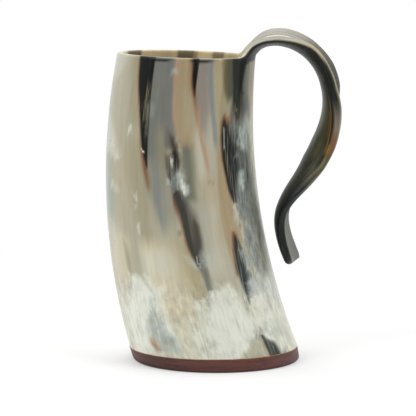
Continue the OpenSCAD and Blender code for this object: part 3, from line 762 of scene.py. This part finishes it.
# Milky flecks over everything
flecks = [
    ("milk", 0.45, (2.8, 2.8, 3.4), (46, -50, -32), (36, -54, -34), (28, -62, -42), (12, -66, -46),
     (-5, -66, -49)),
    ("milk", 0.4, (2, 1.2, 3.4), (42, -36, -22), (34, -33.5, -22), (28, -30, -22.5), (20, -25.5, -22.5)),
    ("ivory", 0.6, (1.2, 1.2, 2.6), (30, -11.5, -9.5), (11, -12.4, -9)),
    ("milk", 0.45, (3, 2, 3.4), (43, 20, 25), (39, 11, 29), (34, 6, 31.5), (28, 3, 34), (20, 2, 36),
     (15, 1, 29), (10, 0, 20)),
    ("milk", 0.9, (1, 1, 1), (40.6, 10.4, 13), (38.4, 10, 14), (36, 11, 13.6)),
    ("milk", 0.7, (1, 1, 1.4), (38, 4, 6), (33, 3.4, 6)),
    ("milk", 1, (2.4, 2.4, 2.4), (32, 10, 22), (22, 4, 22), (11, 4, 18)),
    ("milk", 0.65, (2.6, 3.1, 3.4), (36, 41, 50), (30, 40, 53), (22, 41, 54), (17, 44, 52)),
    ("mist", 0.9, (1.4, 1.4, 1.3), (97, -2, 0.5), (94, -2.4, 4), (91, -2, 5.4), (88.8, -1, 4.4)),
    ("milk", 1, (0.9, 0.9, 1), (95.4, -0.4, 1.4), (93, -1.2, 3.8), (90.6, -0.6, 4.2), (89.2, 0.2, 3.6)),
    ("khaki", 0.5, (1.1, 1.1, 1.2), (111.5, -8.6, -6.4), (109.5, -8.6, -6.4)),
    ("ivory", 0.9, (0.5, 0.5, 0.8), (107.6, -6.4, -4.8), (105.5, -6.6, -4.8), (103.4, -6.2, -5.2)),
    ("mist", 0.5, (0.4, 0.4, 1), (103.6, -6.2, -5.6), (98.4, -6.4, -5.8)),
    ("slate", 0.6, (1.2, 1.2, 1.6), (98, -6, -3), (91, -6, -3)),
    ("slate", 0.7, (0.8, 0.8, 1), (92.5, -6.4, -2.6), (89, -6, -3)),
    ("mist", 0.9, (1.1, 1.1, 1.2), (95.5, -9.8, -7.8), (92.8, -9.8, -8)),
    ("milk", 0.9, (1.2, 1.2, 2.3), (28, -8.8, -7), (20, -8, -5.3), (12, -7.5, -5), (6, -7.5, -4)),
    ("milk", 0.9, (1.2, 1.2, 1.4), (37.3, -2.5, 0.5), (34.5, -3, 2), (32, -3, 1)),
    ("ivory", 0.6, (2.3, 2.3, 2.3), (30, -1, 4), (24, -1, 3)),
    ("bronze", 0.4, (0.6, 0.6, 2.3), (138, -29, -27.8), (127, -29.4, -28)),
    ("olive", 0.6, (0.6, 0.6, 2.3), (133, -27.2, -25.6), (121, -27.4, -25.6)),
    ("milk", 0.9, (0.9, 0.9, 0.6), (112, -30.3, -27.8), (110.8, -30.3, -28)),
    ("sage", 0.5, (0.4, 0.4, 2), (119, 36, 36.6), (112, 36, 36.6)),
    ("khaki", 0.4, (0.6, 0.6, 1), (132, 48.7, 50.2), (130, 48.5, 50)),
    ("bronze", 0.25, (1.2, 1.2, 1.6), (131, 47, 51), (128, 47.5, 52)),
    ("slate", 0.5, (1.4, 1.4, 1.2), (107.5, 47, 50), (106, 47, 50)),
    ("mist", 0.5, (0.8, 0.8, 0.9), (59.4, 40, 43.6), (58.2, 39.4, 44.4)),
    ("mist", 0.5, (0.8, 0.8, 1.6), (58, 43.8, 45), (53, 45.2, 46.4), (50, 44.4, 45.8)),
    ("sage", 0.45, (0.8, 0.8, 1.2), (58, 41.4, 44), (53.5, 41.8, 44.2)),
    ("mist", 0.6, (1.4, 1.4, 1.4), (58.6, -2.6, 0.4), (56, -1.8, 2.8), (52.8, 1.4, 4.6)),
    ("mist", 0.7, (1.2, 1.4, 1.4), (59, 10, 14), (55, 9, 15.5), (51.5, 10.4, 14)),
    ("milk", 0.4, (1.2, 1.2, 1.6), (119.5, -43, -40.8), (116.5, -42.8, -40.6)),
    ("milk", 0.3, (2.4, 2.4, 2.8), (112, -66, -60), (106, -62, -55)),
    ("milk", 0.45, (1.1, 1.1, 2), (88, -37.2, -35.6), (84, -37, -34.6), (81.5, -36.4, -35)),
    ("milk", 0.45, (1, 1, 1.6), (73, -35.4, -34.2), (69.5, -36.4, -34), (67.5, -36.2, -34.8)),
    ("milk", 0.6, (2.3, 2.3, 1.2), (13.5, 53, 63), (10.5, 53, 61)),
    ("milk", 0.8, (1.2, 1.2, 1.1), (18, 42, 46), (15.5, 47, 51), (13.5, 50, 52)),
    ("mist", 0.6, (2.3, 2.3, 2.3), (44, 40, 45), (36, 41, 44)),
    ("milk", 0.25, (3.1, 3.1, 3.1), (42, 56, 66), (38, 60, 66)),
    ("pearl", 0.6, (1.6, 1.6, 1.6), (93, 53, 57), (89, 53, 56)),
    ("pearl", 0.35, (2, 2, 2.4), (121, 54, 61), (111, 55, 63)),
    ("pearl", 0.45, (1.5, 1.5, 2), (83, 40.5, 43), (77, 40.6, 43.5)),
    ("milk", 0.95, (3, 3, 3), (46, -126, -98), (34, -136, -94), (12, -140, -96)),
    ("milk", 0.95, (3, 3, 3), (42, -182, -156), (30, -190, -150), (10, -194, -154)),
    ("milk", 0.8, (3, 3, 3), (38, -240, -214), (24, -244, -210), (12, -240, -218)),
    ("milk", 0.8, (1.4, 1.4, 1.6), (104, -142, -139), (96, -144, -138), (90, -142, -139)),
    ("mist", 0.7, (1.4, 1.4, 1.6), (70, -188, -182), (64, -190, -184)),
]
# Where the horn is cloudy, and where fine scratches run along it, without a colour
mottled = [
    (1, (3, 3, 4), (124, 42, 85), (90, 41, 85), (44, 43, 85)),
    (0.8, (7, 7, 10), (132, -230, -216), (112, -244, -208), (84, -248, -198), (62, -240, -198),
     (44, -226, -208)),
    (0.7, (2, 2, 3), (66, 34, 44), (36, 34, 44)),
    (0.4, (4, 4, 5), (46, -310, 130), (-5, -310, 130)),
    (0.8, (1.5, 1.5, 2), (115, -11, 0), (90, -7, 6)),
]
scored = [
    (0.3, (2, 2, 3), (47, 10, 30), (26, 6, 30)),
    (0.3, (2, 2, 4), (34, -14, 6), (8, -14, 6)),
    (0.85, (0.8, 0.8, 4), (143, -30.6, -25.4), (124, -29.8, -25.4)),
    (0.5, (0.8, 0.8, 4), (122, -29.6, -25.6), (112, -29, -25.6)),
    (0.35, (1.5, 1.5, 3), (140, 46, 56), (126, 46, 56)),
    (0.75, (1.5, 4, 4), (126, 36, 78), (112, 34, 78), (100, 38, 78), (76, 44, 80), (48, 42, 80)),
    (0.7, (1, 1, 3), (64, 36, 45), (50, 34, 46), (36, 35, 46)),
    (0.5, (1, 1, 3), (106, -8, -2), (92, -8, 0)),
    (0.25, (5, 5, 5), (44, -310, 130), (12, -310, 130)),
]


# Below the mouth the edges of the marks wander sideways and feather out upwards, in millimetres
painting = {
    "frontAngle": -90,
    "meanRadius": 37.4,
    "depthSoftness": 0.06,
    "calmHeight": 148,
    "calmSoftness": 6,
    "wander": 0.7,
    "feather": 1.2,
    # heights, and how far the edges feather out there
    "fineFeather": ((48, 70), (0.8, 2.4)),
    # cells round the horn, their height, and the seed
    "wanderCells": (64, 16, 5),
    "featherCells": (64, 9, 4),
    "fineCells": (128, 30, 3),
    "farOutside": -4.0,
}


# Smooth seeded noise from -1 to 1, with so many cells round the horn, and their height
def ripple(around, height, cellsRound, cellHeight, seed):
    size = 128
    table = np.random.default_rng(seed).uniform(-1, 1, (size, size))
    across, up = around * cellsRound / 360, height / cellHeight
    column, row = np.floor(across).astype(int), np.floor(up).astype(int)
    a, b = across - column, up - row
    a, b = a * a * (3 - 2 * a), b * b * (3 - 2 * b)

    def at(right, above):
        return table[(column + right) % size, (row + above) % size]

    return (at(0, 0) * (1 - a) + at(1, 0) * a) * (1 - b) + (at(0, 1) * (1 - a) + at(1, 1) * a) * b


# How far each place lies inside a mark's left edge, right edge, and its ends and depth, in softnesses
def reachOf(layer, soft, edges, degrees, height, inset):
    softLeft, softRight, softEnd = soft
    perDegree = math.radians(painting["meanRadius"])
    heights, lefts, rights = np.array(sorted(edges), float).T
    left, right = np.interp(height, heights, lefts), np.interp(height, heights, rights)
    offset = (degrees - (left + right) / 2 + 180) % 360 - 180
    half = (right - left) / 2
    ends = np.minimum(height - heights[0], heights[-1] - height) / softEnd
    depth = np.minimum(inset - layer[0], layer[1] - inset) / painting["depthSoftness"]
    return np.stack([(half + offset) * perDegree / softLeft, (half - offset) * perDegree / softRight,
                     np.minimum(ends, depth)], 1)


def smooth(distance):
    share = np.clip((distance + 1) / 2, 0, 1)
    return share * share * (3 - 2 * share)


# Distance at which smooth() gives this cover
def capFor(cover):
    return -painting["farOutside"] if cover >= 1 else -2 * math.sin(math.asin(1 - 2 * cover) / 3)


# A mark's share of the colour at each place
def shareOf(layer, cover, soft, edges, places):
    return cover * smooth(reachOf(layer, soft, edges, *places)).prod(1)


# The nearest mark's distances at each place, for edges that the shader frays, and its colour
def nearestOf(marks, places):
    count = len(places[0])
    best = np.full(count, painting["farOutside"])
    sides, tints = np.tile(best[:, None], 3), np.tile(colour(palette["bone"]), (count, 1))
    for name, cover, soft, *edges in marks:
        here = reachOf(outer, soft, edges, *places)
        here[:, 2] = np.minimum(here[:, 2], capFor(cover))
        closer = here.min(1) > best
        best = np.where(closer, here.min(1), best)
        sides[closer], tints[closer] = here[closer], colour(palette[name])
    return np.clip(sides, painting["farOutside"], -painting["farOutside"]), tints


def paintHorn(attributes):
    around = np.degrees(attributes["around"])
    height = (attributes["along"] + horn["Cup Height"] - horn["Mouth Wall"] / 2) / mm
    inset = attributes["inset"]
    calm = smooth((painting["calmHeight"] - height) / painting["calmSoftness"]) * (inset < 0.5)
    feather = np.interp(height, *painting["fineFeather"]) * ripple(around, height, *painting["fineCells"])
    feather += painting["feather"] * ripple(around, height, *painting["featherCells"])
    wander = painting["wander"] * ripple(around, height, *painting["wanderCells"])
    places = around - painting["frontAngle"] + wander * calm, height + feather * calm, inset

    tint = np.tile(colour(palette["bone"]), (len(around), 1))
    strokes = [(outer, *mark) for mark in outside] + [(inner, *mark) for mark in inside] + cutEdge
    for layer, name, cover, soft, *edges in strokes:
        share = shareOf(layer, cover, soft, edges, places)
        tint += (np.array(colour(palette[name])) - tint) * share[:, None]
    attributes["tint"] = tint
    for label, marks in (("streak", streaks), ("fleck", flecks)):
        attributes[label], attributes[label + "Tint"] = nearestOf(marks, places)
    for label, marks in (("mottle", mottled), ("score", scored)):
        attributes[label] = np.max([shareOf(outer, cover, soft, edges, places)
                                    for cover, soft, *edges in marks], 0)


# Patterns in the polished horn: how long each is for its width, its width, detail and roughness
grains = {
    "fibre": (22, 0.6 * mm, 3, 0.55),
    "strand": (12, 1.6 * mm, 3, 0.55),
    "flow": (9, 3.5 * mm, 2, 0.55),
    "cloud": (1.8, 3.2 * mm, 5, 0.65),
    "smear": (4, 1.5 * mm, 4, 0.55),
    "scratch": (45, 0.45 * mm, 2, 0.55),
    "patches": (3, 9 * mm, 2, 0.55),
}
# How strongly the patterns act on the colours, the gloss and the relief
polish = {
    "streakEdge": {"fibre": 1.5, "flow": 1.2},
    "fleckEdge": {"fibre": 0.3, "cloud": 2.6, "smear": 0.6},
    "fleckCover": {"cloud": 1.5, "smear": 0.5},
    "fleckLeast": 0.9,
    "light": {"fibre": 0.14, "strand": 0.24, "flow": 0.24},
    "cloudyLight": {"cloud": 2.1, "smear": 1.8},
    "scratches": {"scratch": 1, "patches": 0.35},
    "scratchEdge": (0.02, 0.12),
    "scratchCover": 0.55,
    "faintScratches": {"scratch": 1, "patches": 0.5},
    "faintEdge": (0.16, 0.24),
    "faintCover": 0.12,
    "relief": {"fibre": 0.5, "cloud": 0.5, "scratch": 0.4},
    "reliefStrength": 0.1,
    "reliefDepth": 0.2 * mm,
    "roughness": 0.29,
    "cloudRoughness": 0.1,
    "scratchedRoughness": 0.12,
    "stripRoughness": 0.12,
    "gloss": 0.3,
}


def hornMaterial():
    material, graph, shader = newMaterial("polishedHorn")
    shader.inputs["Specular IOR Level"].default_value = polish["gloss"]

    def read(name, output="Fac"):
        return graph.node("ShaderNodeAttribute", {"attribute_name": name}, None, output)

    def centredNoise(stretch, size, detail, roughness):
        spread = graph.vectorMaths("MULTIPLY", read("grain", "Vector"), (1, 1, 1 / stretch))
        return graph.noise(spread, 1 / size, detail, roughness) - 0.5

    patterns = {name: centredNoise(*grain) for name, grain in grains.items()}

    def weighed(use):
        return sum(patterns[name] * weight for name, weight in polish[use].items())

    def inside(kind, warp):
        parts = graph.node("ShaderNodeSeparateXYZ", None, {"Vector": read(kind, "Vector")}, "X")
        y, z = (Value(graph, parts.socket.node.outputs[axis]) for axis in "YZ")
        return graph.step(parts.maths("MINIMUM", y).maths("MINIMUM", z) + warp, -1, 1)

    mottle, score = read("mottle"), read("score")
    body = graph.blend(inside("streak", weighed("streakEdge")), read("tint", "Color"),
                       read("streakTint", "Color"))
    light = 1 + weighed("light") + mottle * weighed("cloudyLight")
    body = graph.node("ShaderNodeHueSaturation", None, {"Color": body, "Value": light}, "Color")
    cover = inside("fleck", weighed("fleckEdge")) * (polish["fleckLeast"] + weighed("fleckCover"))
    body = graph.blend(cover, body, read("fleckTint", "Color"))
    lines = graph.step(weighed("scratches"), *polish["scratchEdge"]) * score * polish["scratchCover"]
    pale = graph.blend(mottle, colour(palette["straw"]), colour(palette["sage"]))
    body = graph.blend(lines, body, pale)
    faint = graph.step(weighed("faintScratches"), *polish["faintEdge"]) * polish["faintCover"]
    graph.feed(shader.inputs["Base Color"], graph.blend(faint, body, colour(palette["pearl"])))
    rough = polish["roughness"] + patterns["cloud"] * polish["cloudRoughness"]
    rough = rough + score * polish["scratchedRoughness"] + read("strip") * polish["stripRoughness"]
    graph.feed(shader.inputs["Roughness"], rough)
    graph.relief(shader, polish["reliefStrength"], polish["reliefDepth"], weighed("relief"))
    return material


# The pieces at the horn's foot: each is rings of points round the cup, from the outside upwards. A ring
# has a level, how far it is set in, and whether it follows the plate's outline (0) or the horn's (1).
base = {
    "Thickness": 6.8 * mm,
    "Width": 85 * mm,
    "Depth": 82 * mm,
}
baseSizes = {
    "edgeRadius": 1.8 * mm,
    "topRadius": 0.3 * mm,
    "glue": 0.3 * mm,
    "squeeze": 0.12 * mm,
    "plug": 8 * mm,
    "play": 0.2 * mm,
    "bead": 2 * mm,
    "columns": 200,
    "edgeRows": 8,
    "beadRows": 5,
    "beadHollow": 0.9,
    "sharpAngle": 40,
}


def ringsBlank(name, rings, closed):
    columns, count = baseSizes["columns"], len(rings)
    around = np.tile(np.arange(columns) * 2 * math.pi / columns, count)
    level, inset, rule = (np.repeat(np.array([r[i] for r in rings], float), columns) for i in range(3))
    points = np.stack([np.cos(around), np.sin(around), level], 1)

    def corner(r, j):
        return r % count * columns + j % columns

    faces = [[corner(r, j), corner(r, j + 1), corner(r + 1, j + 1), corner(r + 1, j)]
             for r in range(count if closed else count - 1) for j in range(columns)]
    if not closed:
        faces.append(list(range(columns))[::-1])
        faces.append([(count - 1) * columns + j for j in range(columns)])
    return meshWith(name, points, faces, {"around": around, "level": level, "inset": inset, "rule": rule})


def baseTree():
    graph, size = newTree("baseRings", [*base, *horn, "Material"])
    around, level, inset, rule = (field(graph, name) for name in ("around", "level", "inset", "rule"))
    up = level / size["Thickness"]
    plateW = (size["Width"] + (size["Foot Width"] - size["Width"]) * up) / 2
    plateD = (size["Depth"] + (size["Foot Depth"] - size["Depth"]) * up) / 2
    middle, halfW, halfD = outline(graph, size, level)[1:]
    out = graph.blend(rule, plateW, halfW, "FLOAT") - inset
    across = graph.blend(rule, plateD, halfD, "FLOAT") - inset
    x = graph.blend(rule, up * size["Plate Lean"] * -1, middle, "FLOAT") + out * around.maths("COSINE")
    moved = graph.node("GeometryNodeSetPosition", None, {
        "Geometry": size["Geometry"], "Position": graph.vector(x, across * around.maths("SINE"), level)})
    endTree(graph, moved, size["Material"])
    return graph


def plateRings():
    thickness, low, top = base["Thickness"], baseSizes["edgeRadius"], baseSizes["topRadius"]
    quarter = [math.pi / 2 * i / baseSizes["edgeRows"] for i in range(baseSizes["edgeRows"] + 1)]
    rings = [(low * (1 - math.cos(t)), low * (1 - math.sin(t)), 0) for t in quarter]
    return rings + [(thickness - top * (1 - math.sin(t)), top * (1 - math.cos(t)), 0) for t in quarter]


def glueRings():
    low, high = base["Thickness"], base["Thickness"] + baseSizes["glue"]
    out, back = baseSizes["squeeze"], horn["Foot Wall"]
    return [(low, out, 0), ((low + high) / 2, out / 2, 0), (high, out, 1), (high, back, 1), (low, back, 0)]


def plugRings():
    back = horn["Foot Wall"] + baseSizes["play"]
    return [(base["Thickness"], back, 1), (horn["Foot Level"], back, 1),
            (base["Thickness"] + baseSizes["plug"], back, 1)]


def beadRings():
    back, bead = horn["Foot Wall"] + baseSizes["play"], baseSizes["bead"]
    low = base["Thickness"] + baseSizes["plug"]
    turns = [math.pi / 2 * (i + 1) / (baseSizes["beadRows"] + 1) for i in range(baseSizes["beadRows"])]
    deep = bead * baseSizes["beadHollow"]
    hollow = [(low + deep * (1 - math.sin(t)), back + deep * (1 - math.cos(t)), 1) for t in turns]
    return [(low, back, 1), (low + bead, back, 1), *hollow, (low, back + bead, 1)]


# The wood's patterns, with their stretch, scale and detail, and how strongly they show
timber = {
    "grain": ((0.05, 0.4, 1), 2200, 4),
    "rings": ((0.04, 0.2, 1), 420, 3),
    "pores": ((0.12, 1, 1), 3800, 2),
    "ringsInGrain": 0.8,
    "grainEdge": (0.3, 0.7),
    "lightEdge": (0.45, 0.75),
    "lightCover": 0.6,
    "poreEdge": (0.66, 0.74),
    "poreCover": 0.6,
    "lowerShade": 0.62,
    "upperShade": 1.04,
    "roughness": 0.42,
    "grainRoughness": 0.2,
    "reliefStrength": 0.35,
    "reliefDepth": 0.15 * mm,
}


# Wood with its grain along the handle's direction, darker towards the plate's lower edge
def woodMaterial(name, dark, middle, light, shadeTo):
    material, graph, shader = newMaterial(name)
    place = graph.node("ShaderNodeTexCoord", None, None, "Object")

    def pattern(part):
        stretch, scale, detail = timber[part]
        return graph.noise(graph.vectorMaths("MULTIPLY", place, stretch), scale, detail)

    grain, rings = pattern("grain"), pattern("rings")
    pits = graph.step(pattern("pores"), *timber["poreEdge"]) * timber["poreCover"]
    share = graph.step(grain + (rings - 0.5) * timber["ringsInGrain"], *timber["grainEdge"])
    wood = graph.blend(share, colour(dark), colour(middle))
    glow = graph.step(rings, *timber["lightEdge"]) * timber["lightCover"]
    wood = graph.blend(glow, wood, colour(light))
    wood = graph.blend(pits, wood, colour(dark))
    height = graph.node("ShaderNodeSeparateXYZ", None, {"Vector": place}, "Z")
    shade = graph.blend(graph.step(height, 0, shadeTo), timber["lowerShade"], timber["upperShade"], "FLOAT")
    wood = graph.node("ShaderNodeHueSaturation", None, {"Color": wood, "Value": shade}, "Color")
    graph.feed(shader.inputs["Base Color"], wood)
    graph.feed(shader.inputs["Roughness"], timber["roughness"] + grain * timber["grainRoughness"])
    graph.relief(shader, timber["reliefStrength"], timber["reliefDepth"], grain - pits)
    return material


# Glue and sealing wax, cloudy and a little uneven
gum = {
    "cloudScale": 260,
    "cloudDetail": 4,
    "cloudEdge": (0.3, 0.7),
    "reliefStrength": 0.3,
    "reliefDepth": 0.2 * mm,
}


def gumMaterial(name, dark, light, roughness):
    material, graph, shader = newMaterial(name)
    place = graph.node("ShaderNodeTexCoord", None, None, "Object")
    cloud = graph.noise(place, gum["cloudScale"], gum["cloudDetail"])
    shade = graph.blend(graph.step(cloud, *gum["cloudEdge"]), colour(dark), colour(light))
    graph.feed(shader.inputs["Base Color"], shade)
    shader.inputs["Roughness"].default_value = roughness
    graph.relief(shader, gum["reliefStrength"], gum["reliefDepth"], cloud)
    return material


# Shading, the body that a piece rides on, and the node that it replaces; its slot is not used
def finished(piece, sharpAngle, node, slot):
    piece.data.shade_smooth()
    piece.data.set_sharp_from_angle(angle=math.radians(sharpAngle))
    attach(piece, "root")
    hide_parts(node)


def makeHorn():
    points, faces, attributes = straightHorn()
    paintHorn(attributes)
    guide = stripGuide()
    blank = meshWith("hornCup", points, faces, attributes)
    piece = shaped("hornCup", blank, hornTree(), {**horn, "Guide": guide, "Material": hornMaterial()})
    bpy.data.objects.remove(guide)
    finished(piece, cells["sharpAngle"], "horn", "horn")
    print("horn bent:", len(piece.data.polygons), "faces")


# Colours from dark to light, then how far up a wood is shaded, or how rough the glue and the wax are
baseLooks = {
    "oiledWood": ("40201b", "5f3029", "6f3b31", 4 * mm),
    "plugWood": ("3f2820", "6b4536", "8a5e49", 2 * mm),
    "glue": ("8f6534", "c79a58", 0.5),
    "sealingWax": ("b8945a", "dcbf86", 0.4),
}


def makeBase():
    tree = baseTree()
    plateWood = woodMaterial("oiledWood", *baseLooks["oiledWood"])
    plugWood = woodMaterial("plugWood", *baseLooks["plugWood"])
    glue = gumMaterial("glue", *baseLooks["glue"])
    seal = gumMaterial("sealingWax", *baseLooks["sealingWax"])
    parts = [
        ("basePlate", "base_plate", "base_wood", plateRings(), False, plateWood),
        ("glueLine", "glue_line", "glue", glueRings(), True, glue),
        ("basePlug", "base_plug", "plug_wood", plugRings(), False, plugWood),
        ("sealingBead", "sealing_bead", "seal", beadRings(), True, seal),
    ]
    for name, node, slot, rings, closed, material in parts:
        blank = ringsBlank(name, rings, closed)
        piece = shaped(name, blank, tree, {**base, **horn, "Material": material})
        finished(piece, baseSizes["sharpAngle"], node, slot)
    print("base made:", len(parts), "pieces")


# Camera, fitted to the photo's outlines
view = {
    "place": (-4.4 * mm, -1225 * mm, 231.3 * mm),
    "pitch": math.radians(7.15),
    "millimetresPerPixel": 0.505,
    "frame": 416,
    "sensor": 36,
    "farthest": 20,
}


def placeCamera():
    data = bpy.data.cameras.new("camera")
    data.sensor_width = view["sensor"]
    data.lens = -view["place"][1] / mm / view["millimetresPerPixel"] / view["frame"] * view["sensor"]
    data.clip_end = view["farthest"]
    camera = added("camera", data)
    camera.location = view["place"]
    camera.rotation_euler = (math.pi / 2 - view["pitch"], 0, 0)
    bpy.context.scene.camera = camera


# Floor, daylight and lamps. The camera sees white beyond the pale floor, which keeps the shadow.
studio = {
    "floorRadius": 0.5,
    "floorCorners": 96,
    "floorGrey": 0.86,
    "whiteFrom": 0.12,
    "whiteTo": 0.4,
    "leastWhite": 0.35,
    "back": 0.95,
    "front": 0.22,
    "frontEdge": (-0.75, 0.35),
    "lampAim": (0, 0, 0.08),
    "lamps": [
        ("leftLamp", (-0.95, -0.75, 1.25), 0.7, 9),
        ("rightLamp", (0.95, -0.7, 1.25), 0.7, 8),
        ("topLamp", (-0.1, 0.15, 1.5), 0.9, 7),
    ],
}


def layFloor():
    count, radius = studio["floorCorners"], studio["floorRadius"]
    turns = [2 * math.pi * i / count for i in range(count)]
    corners = [(radius * math.cos(a), radius * math.sin(a), 0) for a in turns]
    mesh = bpy.data.meshes.new("floor")
    mesh.from_pydata(corners, [], [list(range(count))])
    material, graph, shader = newMaterial("paleFloor")
    shader.inputs["Base Color"].default_value = (*[studio["floorGrey"]] * 3, 1)
    shader.inputs["Roughness"].default_value = 1
    shader.inputs["Specular IOR Level"].default_value = 0
    seen = graph.node("ShaderNodeLightPath", None, None, "Is Camera Ray")
    place = graph.node("ShaderNodeTexCoord", None, None, "Object")
    away = graph.vectorMaths("LENGTH", place, output="Value")
    beyond = graph.step(away, studio["whiteFrom"], studio["whiteTo"])
    white = graph.blend(beyond, studio["leastWhite"], 1, "FLOAT")
    glow = graph.node("ShaderNodeEmission", None, {"Color": (1, 1, 1), "Strength": 1})
    lit = graph.node("ShaderNodeMixShader", None,
                     {0: white * seen, 1: Value(graph, shader.outputs[0]), 2: glow})
    end = next(n for n in material.node_tree.nodes if n.type == "OUTPUT_MATERIAL")
    graph.feed(end.inputs[0], lit)
    mesh.materials.append(material)
    added("floor", mesh)


def lightStudio():
    world = bpy.data.worlds.new("studio")
    bpy.context.scene.world = world
    world.use_nodes = True
    graph = Graph(world.node_tree)
    seen = graph.node("ShaderNodeLightPath", None, None, "Is Camera Ray")
    way = graph.node("ShaderNodeTexCoord", None, None, "Generated")
    depthward = graph.node("ShaderNodeSeparateXYZ", None, {"Vector": way}, "Y")
    behind = graph.step(depthward, *studio["frontEdge"])
    daylight = graph.blend(behind, studio["front"], studio["back"], "FLOAT")
    strength = graph.blend(seen, daylight, 1, "FLOAT")
    background = graph.node("ShaderNodeBackground", None, {"Color": (1, 1, 1), "Strength": strength})
    end = world.node_tree.nodes.new("ShaderNodeOutputWorld")
    graph.feed(end.inputs[0], background)
    for name, place, size, power in studio["lamps"]:
        data = bpy.data.lights.new(name, "AREA")
        data.size = size
        data.energy = power
        lamp = added(name, data)
        lamp.location = place
        aim = Vector(studio["lampAim"]) - Vector(place)
        lamp.rotation_euler = aim.to_track_quat("-Z", "Y").to_euler()


print("sizes ready")
makeHorn()
makeBase()
placeCamera()
layFloor()
lightStudio()
bpy.context.scene.view_settings.view_transform = "Standard"
print("studio lit:", len(studio["lamps"]), "lamps")
